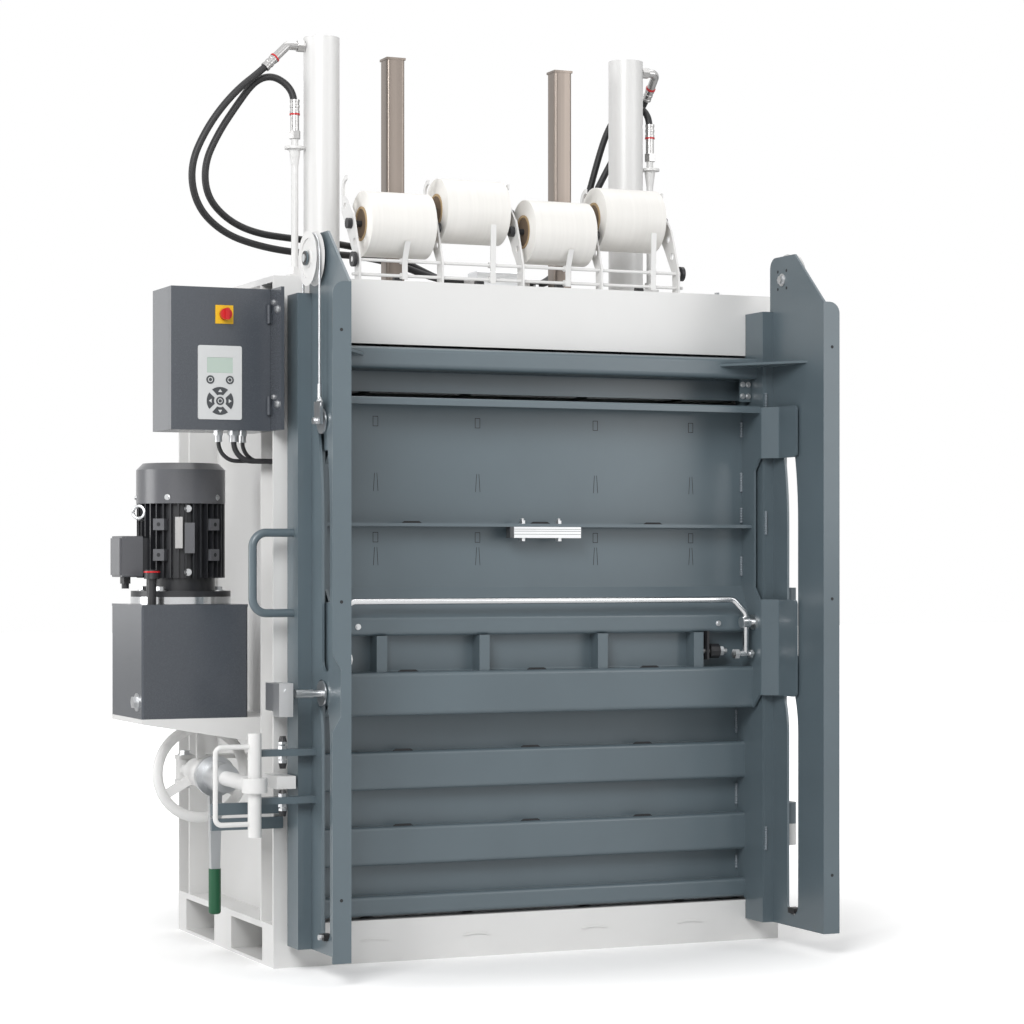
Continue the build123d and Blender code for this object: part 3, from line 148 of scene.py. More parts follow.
# A darker card brown: painted shade inside the bores of the cores.
bore_shade_card = material("bore_shade_card", (0.15, 0.105, 0.07), 0.8, tint=0.12, grain=300, bump=0.3)
green = material("green_grip", (0.004, 0.078, 0.03), 0.4, tint=0.08)
red = material("red_plastic", (0.55, 0.015, 0.02), 0.3, tint=0.03)
yellow = material("yellow_plastic", (0.80, 0.48, 0.02), 0.35, tint=0.02)
panel_foil = material("panel_foil", (0.62, 0.63, 0.63), 0.4, tint=0.02)
screen = material("screen", (0.46, 0.55, 0.49), 0.2, tint=0.03)
key_dark = material("key_dark", (0.06, 0.065, 0.07), 0.4, tint=0.05)
# Near-black, painted shade for holes, slits, vents and notches drawn on the surfaces.
gap_shade = material("gap_shade", (0.012, 0.013, 0.015), 0.7, tint=0.1)
rope_steel = material("rope_steel", (0.50, 0.51, 0.52), 0.35, metal=1.0, grain=1500, bump=0.5)

node_looks = {
    white: ["base_frame", "side_frame_left", "side_frame_right", "rear_wall", "top_frame", "cylinders",
            "rack_brackets", "rack_rods", "door_rest", "hinge_brackets", "lock_anchor", "lock_arm",
            "handwheel", "return_pipes", "rope_pulleys", "tank_tray"],
    grey: ["door_panel", "door_stiles", "door_top_rail", "post_left", "post_right", "weight_boxes",
           "door_hinges", "door_handle", "flap_panel", "flap_ends", "lock_support", "press_platen"],
    dark: ["cabinet_box", "cabinet_door", "oil_tank"],
    deck_steel: ["floor_strips", "platen_pads", "counterweights"],
    guide_steel: ["guide_tubes"],
    bright: ["piston_rods", "flap_handle"],
    fitting_steel: ["hose_fittings"],
    zinc: ["flap_pins", "ratchet_lever", "interlock_switch"],
    aluminium: ["manifold_block", "clamp_bar"],
    rubber: ["hose_head_left", "hose_rod_left", "hose_head_right", "hose_rod_right"],
    rope_steel: ["rope_front"],
    motor: ["motor_housing", "motor_flange"],
    cowl: ["fan_cowl", "terminal_box"],
    black: ["roll_axles"],
    panel_foil: ["control_panel"],
    strap: ["strap_roll_1", "strap_roll_2", "strap_roll_3", "strap_roll_4"],
    green: ["lever_grip"],
    red: ["switch_knob"],
}
for look, names in node_looks.items():
    for name in names:
        mesh = nodes[name].data
        mesh.materials.clear()
        mesh.materials.append(look)

# Shapes


class Shape:
    """Points and faces gathered in millimetres, to become one piece."""

    closed_r = 0.01
    washer_share, washer_h_share = 1.45, 0.2
    bead_r, bead_sides, bead_pitch_share, bead_neck_share = 4.5, 8, 1.3, 0.72

    def __init__(self):
        self.points = []
        self.faces = []

    def add(self, points, faces):
        start = len(self.points)
        self.points += [Vector(p) for p in points]
        self.faces += [tuple(start + i for i in face) for face in faces]
        return self

    def block(self, x0, x1, y0, y1, z0, z1):
        corners = [(x, y, z) for z in (z0, z1) for y in (y0, y1) for x in (x0, x1)]
        low_high, front_back = [(0, 2, 3, 1), (4, 5, 7, 6)], [(0, 1, 5, 4), (2, 6, 7, 3)]
        left_right = [(0, 4, 6, 2), (1, 3, 7, 5)]
        return self.add(corners, low_high + front_back + left_right)

    def rings(self, centres, radii, turns, sides):
        """A skin over rings of points, one ring for each centre."""
        points, faces = [], []
        for centre, radius, turn in zip(centres, radii, turns):
            for i in range(sides):
                a = math.tau * i / sides
                points.append(centre + turn @ Vector((radius * math.cos(a), radius * math.sin(a), 0)))
        for row in range(len(centres) - 1):
            for i in range(sides):
                j = (i + 1) % sides
                faces.append((row * sides + i, row * sides + j, (row + 1) * sides + j, (row + 1) * sides + i))
        return self.add(points, faces)

    def spin(self, start, axis, profile, sides=32):
        """A turned form: profile pairs are (distance along the axis, radius)."""
        along = Vector(axis).normalized()
        turn = along.to_track_quat("Z", "Y").to_matrix()
        centres = [Vector(start) + along * distance for distance, _ in profile]
        return self.rings(centres, [r for _, r in profile], [turn] * len(profile), sides)

    def drum(self, a, b, radius, end_radius=None, sides=24):
        """A round bar, or with six sides a hexagon bar, from a to b."""
        axis = Vector(b) - Vector(a)
        last = radius if end_radius is None else end_radius
        profile = [(0, self.closed_r), (0, radius), (axis.length, last), (axis.length, self.closed_r)]
        return self.spin(a, axis, profile, sides)

    def tube(self, points, radius, sides=10):
        """A round bar along a line of points, closed at both ends."""
        points = [Vector(p) for p in points]
        ends = zip([points[0], *points[:-1]], [*points[1:], points[-1]])
        turns = [(b - a).to_track_quat("Z", "Y").to_matrix() for a, b in ends]
        first = len(self.points)
        last = first + (len(points) - 1) * sides
        self.rings(points, [radius] * len(points), turns, sides)
        self.faces.append(tuple(reversed(range(first, first + sides))))
        self.faces.append(tuple(range(last, last + sides)))
        return self

    def plate(self, outline, thick):
        """A flat outline pushed out along the vector thick."""
        n = len(outline)
        top = [Vector(p) + Vector(thick) for p in outline]
        walls = [(i, (i + 1) % n, n + (i + 1) % n, n + i) for i in range(n)]
        return self.add([*outline, *top], [tuple(reversed(range(n))), tuple(range(n, 2 * n)), *walls])

    def bolt(self, place, axis, radius, height):
        """A hexagon head on a washer."""
        axis = Vector(axis).normalized()
        washer_top = Vector(place) + axis * height * self.washer_h_share
        self.drum(place, washer_top, radius * self.washer_share)
        return self.drum(washer_top, Vector(place) + axis * height, radius, sides=6)

    def weld(self, a, b):
        """A row of overlapping beads."""
        a, b = Vector(a), Vector(b)
        steps = 2 * max(2, int((b - a).length / (self.bead_pitch_share * self.bead_r)))
        line = [a.lerp(b, i / steps) for i in range(steps + 1)]
        radii = [self.bead_r * (1.0 if i % 2 else self.bead_neck_share) for i in range(steps + 1)]
        turn = (b - a).to_track_quat("Z", "Y").to_matrix()
        return self.rings(line, radii, [turn] * len(line), self.bead_sides)


def arc(centre, radius, start, end, steps, plane=FRONT_VIEW):
    """Points on an arc, angles in degrees."""
    u, v = Vector(plane[0]), Vector(plane[1])
    angles = [math.radians(start + (end - start) * i / steps) for i in range(steps + 1)]
    return [Vector(centre) + radius * (u * math.cos(a) + v * math.sin(a)) for a in angles]


def piece(name, shape, look, body, smooth=True):
    """Make the shape an object that moves with a body."""
    mesh = bpy.data.meshes.new(name)
    mesh.from_pydata([at(*p) for p in shape.points], [], shape.faces)
    mesh.materials.append(look)
    if smooth:
        mesh.shade_smooth()
        mesh.set_sharp_from_angle(angle=math.radians(35))
    thing = bpy.data.objects.new(name, mesh)
    bpy.context.collection.objects.link(thing)
    if body:
        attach(thing, body)
    return thing


# Hoses: the routes of the solids as smooth curves, with crimped sleeves and red rings at the fittings

hose_points = {
    "hose_head_left": [
        (-557.3, 376, 2244), (-585.6, 376, 2215.7), (-664, 372, 2152), (-734, 370, 2062), (-779, 376, 1960),
        (-757, 392, 1862), (-680, 412, 1800), (-575, 437, 1774), (-455, 455, 1763), (-310, 462, 1767),
        (-190, 458, 1747), (-110, 447, 1718), (-45, 442.5, 1705), (20, 442.5, 1705)],
    "hose_rod_left": [
        (-502, 376, 2109), (-502, 376, 2149), (-521, 383, 2184), (-560, 391, 2204), (-603, 396, 2187),
        (-650, 398, 2122), (-697, 400, 2050), (-732, 404, 1972), (-724, 413, 1893), (-668, 426, 1838),
        (-588, 442, 1808), (-475, 463, 1801), (-340, 479, 1796), (-190, 482, 1770), (-105, 473, 1729),
        (-45, 467.5, 1705), (20, 467.5, 1705)],
    "hose_head_right": [
        (521.3, 412, 2244), (521.3, 440.3, 2215.7), (498, 458, 2168), (458, 476, 2090), (408, 484, 1998),
        (362, 482, 1910), (325, 474, 1830), (296, 460, 1770), (258, 448, 1727), (205, 442.5, 1705),
        (140, 442.5, 1705)],
    "hose_rod_right": [
        (502, 376, 2109), (502, 376, 2149), (497, 394, 2182), (478, 428, 2202), (452, 466, 2186),
        (430, 494, 2135), (410, 508, 2060), (385, 510, 1970), (355, 508, 1890), (322, 501, 1820),
        (290, 489, 1765), (252, 474, 1727), (205, 467.5, 1705), (140, 467.5, 1705)],
}


def hoses():
    for name, points in hose_points.items():
        curve = bpy.data.curves.new(name + "_line", "CURVE")
        curve.dimensions = "3D"
        spline = curve.splines.new("NURBS")
        spline.points.add(len(points) - 1)
        for point, p in zip(spline.points, points):
            point.co = (*at(*p), 1)
        spline.order_u = 3
        spline.use_endpoint_u = True
        spline.resolution_u = 10
        curve.bevel_depth = HOSE_R / MM
        curve.bevel_resolution = 5
        curve.use_fill_caps = True
        hose = bpy.data.objects.new(name + "_tube", curve)
        bpy.context.collection.objects.link(hose)
        hose.data.materials.append(rubber)
        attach(hose, "frame")
        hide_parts(name)


def hose_ends():
    """Crimped sleeves at both ends of each hose, and a red ring at the cylinder end."""
    sleeve_r, groove_r, hole_r, land, pitch, lands = 12.5, 11.4, 9.2, 6, 7, 5
    ring_r, ring_w, ring_back = 13.4, 4, 5
    profile = [(0, hole_r)]
    for k in range(lands):
        r = groove_r if k % 2 else sleeve_r
        profile += [(k * pitch, r), (k * pitch + land, r)]
    profile.append((profile[-1][0], hole_r))
    sleeves, red_rings = Shape(), Shape()
    for points in hose_points.values():
        for start, toward in ((points[0], points[1]), (points[-1], points[-2])):
            sleeves.spin(start, Vector(toward) - Vector(start), profile, 24)
        along = (Vector(points[1]) - Vector(points[0])).normalized()
        ring = [(0, HOSE_R), (0, ring_r), (ring_w, ring_r), (ring_w, HOSE_R)]
        red_rings.spin(Vector(points[0]) - along * ring_back, along, ring, 24)
    piece("hose_sleeves", sleeves, fitting_steel, "frame")
    piece("hose_red_rings", red_rings, red, "frame")


def pipe_nuts():
    """Union nuts at the feet of the return pipes and cones under their ring plates."""
    nut_r, nut_foot, nut_top = 15, 1700, 1718
    cone_r, cone_end_r, cone_top, cone_foot = 15, 9.2, 2018, 1976
    nuts = Shape()
    for side in SIDES:
        x = side * PIPE_X
        nuts.drum((x, PRESS_Y, nut_foot), (x, PRESS_Y, nut_top), nut_r, sides=6)
        nuts.drum((x, PRESS_Y, cone_top), (x, PRESS_Y, cone_foot), cone_r, cone_end_r)
    piece("pipe_nuts", nuts, white, "frame")


# Strap rolls and rack

ROLLS = [(-354, 64, 1797), (-138, 110, 1845), (78, 64, 1797), (294, 110, 1845)]
ROLL_HALF = 84


def roll_faces():
    """Wound layers on the side faces of each roll, and the ends of its card core."""
    roll_r, layers, wound, layer_low, layer_step = 79.8, 26, 37.5, 0.2, 0.7
    core_r, core_in, core_bore, core_out = 42, 36, 35.3, 2.5
    core_profile = [(0, core_r), (core_out, core_r), (core_out, core_in), (0, core_bore)]
    for number, (x, y, z) in enumerate(ROLLS, start=1):
        faces, core = Shape(), Shape()
        for side in SIDES:
            end = (x + side * ROLL_HALF, y, z)
            profile = [(layer_low + layer_step * (k % 2), core_r + wound * k / layers)
                       for k in range(layers + 1)]
            faces.spin(end, (side, 0, 0), profile + [(0, roll_r)], 48)
            core.spin(end, (side, 0, 0), core_profile, 48)
        piece(f"roll_{number}_layers", faces, strap, f"roll_{number}")
        piece(f"roll_{number}_core", core, card, f"roll_{number}")


def bore_shade_discs():
    """Dark brown discs on the hubs, painted shade inside the bores of the cores, so that they look hollow
    around the axles.
    """
    axle_r, disc_r, disc_t = 8.2, 34.5, 0.4
    discs = Shape()
    for x, y, z in ROLLS:
        for side in SIDES:
            profile = [(0, axle_r), (disc_t, axle_r), (disc_t, disc_r), (0, disc_r)]
            discs.spin((x + side * ROLL_HALF, y, z), (side, 0, 0), profile)
    piece("bore_shade_discs", discs, bore_shade_card, "frame")


def strap_guides():
    """Flat guides on the rods in front of the rolls, and black caps on the ends of the upper rod."""
    guide_xs = (-344, -110, 94, 332)
    guide_w, guide_t = 14, 3
    low_line = [(11, 5), (11, 52), (-9, 96)]
    high_line = [(11, 5), (11, 60), (8, 150)]
    rod_y, rod_zs = 20, (1669, 1705)
    collar_r, collar_half = 7.5, 9
    cap_r, cap_hole, cap_w, cap_over = 18.5, 7, 8.4, 0.4
    rod_ends = ((-478.5, 1), (418.5, -1))
    guides, caps = Shape(), Shape()
    for i, x in enumerate(guide_xs):
        line = high_line if i % 2 else low_line
        back = [(y + guide_t, z) for y, z in reversed(line)]
        guides.plate([(x - guide_w / 2, y, DECK_Z + z) for y, z in line + back], (guide_w, 0, 0))
        for z in rod_zs:
            guides.drum((x - collar_half, rod_y, z), (x + collar_half, rod_y, z), collar_r)
    for end, side in rod_ends:
        profile = [(-cap_over, cap_hole), (-cap_over, cap_r), (cap_w, cap_r), (cap_w, cap_hole)]
        caps.spin((end, rod_y, rod_zs[1]), (side, 0, 0), profile)
    piece("strap_guides", guides, white, "frame")
    piece("rod_caps", caps, black, "frame")


def strap_entries():
    """Card-coloured plates on the deck where the straps go in, each with a black roller."""
    entry_xs = (-367, -149, 69, 293)
    middle, half_d, thick, straight, nose = 82, 22, 4, 26, -14
    roller_y, roller_r, roller_x0, roller_x1, roller_rise = 66, 8, 14, 34, 9
    plates, rollers = Shape(), Shape()
    for x in entry_xs:
        round_end = arc((x + nose, middle, DECK_Z), half_d, 90, 270, 10, FLOOR_PLANE)
        square_end = [Vector((x + straight, middle + side * half_d, DECK_Z)) for side in SIDES]
        plates.plate(round_end + square_end, (0, 0, thick))
        z = DECK_Z + roller_rise
        rollers.drum((x + roller_x0, roller_y, z), (x + roller_x1, roller_y, z), roller_r)
    piece("strap_entries", plates, card, "frame")
    piece("strap_entry_mouths", rollers, black, "frame")


# Ropes: front runs, wraps over the pulleys and rear runs into the boxes


def ropes():
    pulley_x, pulley_y, pulley_z, wrap_r = 640, -144, 1683, 58
    rope_r, rope_steps, lug_z, rear_end = 3, 24, 1345, 1597
    eye_r, eye_bar_r, eye_drop, ferrule_r, ferrule = 12, 3.5, 4, 5, (6, 40)
    axle_face, ring_r, ring_t, cap_r, cap_t = 657.5, 16.5, 0.6, 9.5, 2.5
    front_y = pulley_y - wrap_r
    front, fixed, thimbles, axle_rings, axle_caps = Shape(), Shape(), Shape(), Shape(), Shape()
    for side in SIDES:
        x = side * pulley_x
        run = [lug_z + (pulley_z - lug_z) * k / rope_steps for k in range(rope_steps + 1)]
        front.tube([(x, front_y, z) for z in run], rope_r)
        over = arc((x, pulley_y, pulley_z), wrap_r, 180, 0, 20, SIDE_PLANE)
        fixed.tube(over + [(x, pulley_y + wrap_r, rear_end)], rope_r)
        thimbles.tube(arc((x, front_y, lug_z - eye_drop), eye_r, 0, 360, 20, SIDE_PLANE), eye_bar_r)
        thimbles.drum((x, front_y, lug_z + ferrule[0]), (x, front_y, lug_z + ferrule[1]), ferrule_r)
        face = side * axle_face
        axle_rings.drum((face, pulley_y, pulley_z), (face + side * ring_t, pulley_y, pulley_z), ring_r)
        axle_caps.drum((face, pulley_y, pulley_z), (face + side * cap_t, pulley_y, pulley_z), cap_r)
    rope = piece("rope_runs", front, rope_steel, None)
    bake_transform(rope)
    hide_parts("rope_front")
    piece("rope_wraps", fixed, rope_steel, "door")
    piece("rope_thimbles", thimbles, zinc, "flap")
    piece("pulley_rings", axle_rings, black, "door")
    piece("pulley_caps", axle_caps, zinc, "door")


# Control cabinet


def keypad():
    """Display and keys of the control panel, with plain arrows and rings for signs."""
    panel_x, panel_face, key_t = -819, -3, 1
    screen_half, screen_y0, screen_y1, screen_z0, screen_z1 = 31.5, -2.3, -1.9, 1418.5, 1454.5
    pad_z, pad_r, pad_in_r = 1352, 33, 15
    round_keys = [(-24, 1402), (24, 1402), (0, pad_z)]
    round_r, sign_r, sign_in_r = 10, 6, 4.2
    arrow_tip, arrow_foot, arrow_half = 28, 21, 5
    fan_half, fan_in_half, ring_lift, arrow_lift = 36, 28, 0.1, 0.2
    display = Shape().block(panel_x - screen_half, panel_x + screen_half, screen_y0, screen_y1,
                            screen_z0, screen_z1)
    keys, signs = Shape(), Shape()
    key_face = panel_face - key_t
    for dx, z in round_keys:
        keys.drum((panel_x + dx, panel_face, z), (panel_x + dx, key_face, z), round_r)
        signs.spin((panel_x + dx, key_face - ring_lift, z), (0, -1, 0), [(0, sign_in_r), (0, sign_r)], 20)
    centre = Vector((panel_x, key_face - arrow_lift, pad_z))
    for middle in (0, 90, 180, 270):
        hub = (panel_x, panel_face, pad_z)
        fan = arc(hub, pad_r, middle - fan_half, middle + fan_half, 10)
        fan += reversed(arc(hub, pad_in_r, middle - fan_in_half, middle + fan_in_half, 6))
        keys.plate(fan, (0, -key_t, 0))
        out = Vector((math.cos(math.radians(middle)), 0, math.sin(math.radians(middle))))
        across = Vector((-out.z, 0, out.x)) * arrow_half
        foot = centre + out * arrow_foot
        signs.add([centre + out * arrow_tip, foot + across, foot - across], [(0, 1, 2)])
    piece("display", display, screen, "cabinet_lid", smooth=False)
    piece("keys", keys, key_dark, "cabinet_lid")
    piece("key_signs", signs, panel_foil, "cabinet_lid", smooth=False)


def switch_plate():
    """Yellow square plate behind the main switch, with a hole for its shaft."""
    centre, hole_r, half, thick, steps = Vector((-808, -2.5, 1557)), 6, 22, 2.5, 32
    hole = arc(centre, hole_r, 45, 405, steps)
    square = []
    for p in hole:
        d = p - centre
        square.append(centre + d * half / max(abs(d.x), abs(d.z)))
    back = Vector((0, thick, 0))
    n = len(hole)
    faces = []
    for i in range(steps):
        faces += [(i, i + 1, n + i + 1, n + i), (n + i, n + i + 1, 2 * n + i + 1, 2 * n + i),
                  (i + 1, i, 3 * n + i, 3 * n + i + 1)]
    plate = Shape().add(hole + square + [p + back for p in square] + [p + back for p in hole], faces)
    piece("switch_plate", plate, yellow, "cabinet_lid", smooth=False)


def cabinet_fittings():
    """Bolts on the mounting plate, and cable glands whose cables go into the left column."""
    plate_face, bolt_y, stud_y, stud_rise = -693, -52, -24, 18
    bolt_zs, bolt_head, stud_head = (1345, 1570), (7, 6), (5, 5)
    gland_places = [(-800, 70, 9), (-765, 60, 12), (-735, 85, 9)]
    cabinet_z, nut_h, gland_h, bow_r, wall_x = 1283, 9, 25, 45, -607
    nut_share, cable_share, cable_in = 1.3, 0.55, 6
    bolts, glands, tails = Shape(), Shape(), Shape()
    for z in bolt_zs:
        bolts.bolt((plate_face, bolt_y, z), (-1, 0, 0), *bolt_head)
        bolts.bolt((plate_face, stud_y, z + stud_rise), (-1, 0, 0), *stud_head)
    gland_z = cabinet_z - gland_h
    for x, y, r in gland_places:
        glands.drum((x, y, cabinet_z), (x, y, cabinet_z - nut_h), r * nut_share, sides=6)
        glands.drum((x, y, cabinet_z - nut_h), (x, y, gland_z), r)
        bow = arc((x + bow_r, y, gland_z), bow_r, 180, 270, 12)
        line = [(x, y, gland_z + cable_in)] + bow + [(wall_x, y, gland_z - bow_r)]
        tails.tube(line, r * cable_share)
    piece("cabinet_bolts", bolts, zinc, "frame")
    piece("cable_glands", glands, zinc, "frame")
    piece("gland_tails", tails, black, "frame")


# Power unit

MOTOR_X, MOTOR_Y = -829, 285
TANK_TOP = 868


def on_motor(angle, out, across, z):
    """A place at the motor: an angle about its axis, then distances out from the axis and across."""
    a = math.radians(angle)
    ahead, side = Vector((math.cos(a), math.sin(a), 0)), Vector((-math.sin(a), math.cos(a), 0))
    return Vector((MOTOR_X, MOTOR_Y, z)) + ahead * out + side * across


def motor_block(shape, angle, across, out, low, high):
    """A block on the fins, between two distances across, out from the axis and in height."""
    left, right = across
    near, far = out
    outline = [(left, low), (right, low), (right, high), (left, high)]
    thick = on_motor(angle, far, 0, low) - on_motor(angle, near, 0, low)
    shape.plate([on_motor(angle, near, c, z) for c, z in outline], thick)


def motor_pads():
    """Cast pads with holes drawn as dark discs of painted shade, a clip and a plate without words on the
    fins.
    """
    pad_angles, pad_zs, pad_half, pad_h, pad_out = (-135, -59), (974, 1048), 15, 28, (92, 113)
    hole_r, hole_t = 5, 0.2
    clip_angle, clip_across, clip_out, clip_zs = -109, (14, 38), (92, 112), (992, 1066)
    plate_across, plate_out, plate_zs = (-9, 9), (100, 112), (1004, 1080)
    plate, pads, holes = Shape(), Shape(), Shape()
    motor_block(plate, clip_angle, plate_across, plate_out, *plate_zs)
    motor_block(pads, clip_angle, clip_across, clip_out, *clip_zs)
    for angle in pad_angles:
        for z in pad_zs:
            motor_block(pads, angle, (-pad_half, pad_half), pad_out, z, z + pad_h)
            middle = z + pad_h / 2
            face = pad_out[1]
            holes.drum(on_motor(angle, face, 0, middle), on_motor(angle, face + hole_t, 0, middle), hole_r)
    piece("motor_pads", pads, cowl, "frame", smooth=False)
    piece("pad_holes", holes, gap_shade, "frame")
    piece("rating_plate", plate, fitting_steel, "frame", smooth=False)


def motor_fittings():
    """Machined band, bolts of the flange and housing, cowl screws, eye bolt, and vent rings drawn as dark
    rings of painted shade.
    """
    body_bolt_angle, body_bolt_out, body_bolt_zs = -97, 105, (946, 1100)
    band_in_r, band_r, band_h, band_rise = 121, 122.6, 17, 1
    flange_top, flange_ring_r, flange_bolts, flange_turn, flange_head = 900, 104, 4, 45, (10, 11)
    cowl_screw_z, cowl_r, cowl_screws, cowl_turn, cowl_head = 1128, 108.5, 5, 20, (5, 4)
    body_head = (6, 6)
    vent_z, vent_t, vent_w, vent_radii = 1208.3, 0.3, 4.5, range(14, 60, 9)
    eye, eye_r, eye_bar_r = Vector((MOTOR_X - 113, MOTOR_Y - 24, 1092)), 15, 4
    eye_plane, stem, stem_r = ((0.8, -0.6, 0), UP), Vector((17, 4, -20)), 5
    band = Shape().spin((MOTOR_X, MOTOR_Y, TANK_TOP + band_rise), UP,
                        [(0, band_in_r), (0, band_r), (band_h, band_r), (band_h, band_in_r)], 64)
    bolts, vents = Shape(), Shape()
    for k in range(flange_bolts):
        angle = flange_turn + 360 * k / flange_bolts
        bolts.bolt(on_motor(angle, flange_ring_r, 0, flange_top), UP, *flange_head)
    for z in body_bolt_zs:
        toward = on_motor(body_bolt_angle, 1, 0, z) - on_motor(body_bolt_angle, 0, 0, z)
        bolts.bolt(on_motor(body_bolt_angle, body_bolt_out, 0, z), toward, *body_head)
    for k in range(cowl_screws):
        angle = cowl_turn + 360 * k / cowl_screws
        toward = on_motor(angle, 1, 0, cowl_screw_z) - on_motor(angle, 0, 0, cowl_screw_z)
        bolts.bolt(on_motor(angle, cowl_r, 0, cowl_screw_z), toward, *cowl_head)
    bolts.tube(arc(eye, eye_r, 0, 360, 24, eye_plane), eye_bar_r)
    bolts.drum(eye - Vector((0, 0, eye_r)), eye + stem, stem_r)
    for r in vent_radii:
        profile = [(0, r), (vent_t, r), (vent_t, r + vent_w), (0, r + vent_w)]
        vents.spin((MOTOR_X, MOTOR_Y, vent_z), UP, profile, 40)
    piece("flange_band", band, bright, "frame")
    piece("motor_bolts", bolts, zinc, "frame")
    piece("cowl_vents", vents, gap_shade, "frame")


def tank_fittings():
    """Oil filler with its cap on the tank, the drain plug, and the gland under the terminal box."""
    drain_place, drain_r, drain_h = (-966, 190, 633), 15.2, 13
    filler_x, filler_y, neck_r, neck_top = -934, 176, 11, 930
    cap_r, cap_top_r, cap_top, cap_sides = 19, 17, 952, 14
    ring_in_r, ring_r, ring_z, ring_h = 16, 19.5, 945, 4
    gland_x, gland_y, box_z, nut_r, nut_end, gland_r, gland_end = -972, 275, 934, 13, 918, 9, 906
    parts = Shape()
    parts.drum((gland_x, gland_y, box_z), (gland_x, gland_y, nut_end), nut_r, sides=6)
    parts.drum((gland_x, gland_y, nut_end), (gland_x, gland_y, gland_end), gland_r)
    parts.drum((filler_x, filler_y, TANK_TOP), (filler_x, filler_y, neck_top), neck_r)
    parts.drum((filler_x, filler_y, neck_top), (filler_x, filler_y, cap_top), cap_r, cap_top_r, cap_sides)
    ring_profile = [(0, ring_in_r), (0, ring_r), (ring_h, ring_r), (ring_h, ring_in_r)]
    ring = Shape().spin((filler_x, filler_y, ring_z), UP, ring_profile)
    piece("filler_and_gland", parts, black, "frame")
    piece("filler_ring", ring, red, "frame")
    drain = Shape().bolt(drain_place, (-1, 0, 0), drain_r, drain_h)
    piece("drain_plug", drain, zinc, "frame")


# Loading flap


def flap_bolts():
    """Bolts of the clamp bar and the beam, washers of the bail, dark strips of painted shade for the grooves
    of the clamp bar, and a dark block at its left end.
    """
    clamp_xs, clamp_y, clamp_low, clamp_high, clamp_r, nut_r, nut_h = (-58, 40), -49, 1022, 1078, 4, 8, 8
    ledge_top, bar_low, bar_front = 1065, 1030, -62
    beam_xs, beam_face, beam_z, beam_head = (-487, 487), -46, 815, (5, 5)
    bail_y, bail_z, washer_r, washer_t = -75, 818, 19, 5.9
    groove_half, groove_zs, groove_h, proud = 94, (1038.5, 1046, 1051), 1, 0.2
    end_x0, end_x1, end_proud, end_back, end_z0, end_z1 = -96, -86, 0.3, -36, 1029.8, 1057.2
    washer_in = 0.1
    bolts, lines = Shape(), Shape()
    for x in clamp_xs:
        bolts.drum((x, clamp_y, clamp_low), (x, clamp_y, clamp_high), clamp_r)
        bolts.drum((x, clamp_y, ledge_top), (x, clamp_y, ledge_top + nut_h), nut_r, sides=6)
        bolts.drum((x, clamp_y, bar_low), (x, clamp_y, bar_low - nut_h), nut_r, sides=6)
    for x in beam_xs:
        bolts.bolt((x, beam_face, beam_z), (0, -1, 0), *beam_head)
    for side in SIDES:
        edge = side * (FLAP_HALF - washer_in)
        bolts.drum((edge - side * washer_t, bail_y, bail_z), (edge, bail_y, bail_z), washer_r)
    for z in groove_zs:
        lines.block(-groove_half, groove_half, bar_front - proud, bar_front + proud, z, z + groove_h)
    lines.block(end_x0, end_x1, bar_front - end_proud, end_back, end_z0, end_z1)
    piece("flap_bolts", bolts, zinc, "flap")
    piece("bar_groove_shade", lines, key_dark, "flap", smooth=False)


def plunger():
    """Spring plunger with its roller and bracket, at the right end of the beam."""
    y, z = -40, 745
    roller_x0, roller_x1, roller_r, roller_sides = 462, 488, 19, 10
    pin_x0, pin_x1, pin_r, nut_x0, nut_x1, nut_r = 440, 512, 7, 492, 501, 13
    ear_x0, ear_x1, ear_front, ear_back, ear_z0, ear_z1 = 448, 454, -60, -8, 724, 796
    dark_parts, bright_parts = Shape(), Shape()
    dark_parts.drum((roller_x0, y, z), (roller_x1, y, z), roller_r, sides=roller_sides)
    dark_parts.block(ear_x0, ear_x1, ear_front, ear_back, ear_z0, ear_z1)
    bright_parts.drum((pin_x0, y, z), (pin_x1, y, z), pin_r)
    bright_parts.drum((nut_x0, y, z), (nut_x1, y, z), nut_r, sides=6)
    piece("plunger_roller", dark_parts, black, "flap")
    piece("plunger_pin", bright_parts, zinc, "flap")


def flap_marks():
    """Dark edges of the square holes and of the lances on the strap lines of the flap panel, painted shade on
    the panel face.
    """
    hole_zs, hole_half_w, hole_half_h, line_w, proud, sunk = (1031, 1312), 7, 12.4, 1.4, 0.25, 0.1
    lance_zs, lance_half_h, lance_foot, lance_top, lance_line, lance_t = (985, 1165), 22, 6, 3, 1.3, 0.3
    holes, lances = Shape(), Shape()
    y0, y1 = FLAP_FACE - proud, FLAP_FACE + sunk
    for x in STRAP_XS:
        for z in hole_zs:
            for side in SIDES:
                inner_z, outer_z = sorted((side * (hole_half_h - line_w), side * hole_half_h))
                holes.block(x - hole_half_w, x + hole_half_w, y0, y1, z + inner_z, z + outer_z)
                inner_x, outer_x = sorted((side * (hole_half_w - line_w), side * hole_half_w))
                reach = hole_half_h - line_w
                holes.block(x + inner_x, x + outer_x, y0, y1, z - reach, z + reach)
        for z in lance_zs:
            for side in SIDES:
                foot, top = x + side * lance_foot, x + side * lance_top
                low, high = z - lance_half_h, z + lance_half_h
                outline = [(foot, FLAP_FACE, low), (foot + lance_line, FLAP_FACE, low),
                           (top + lance_line, FLAP_FACE, high), (top, FLAP_FACE, high)]
                lances.plate(outline, (0, -lance_t, 0))
    piece("hole_lines", holes, gap_shade, "flap", smooth=False)
    piece("lances", lances, gap_shade, "flap", smooth=False)


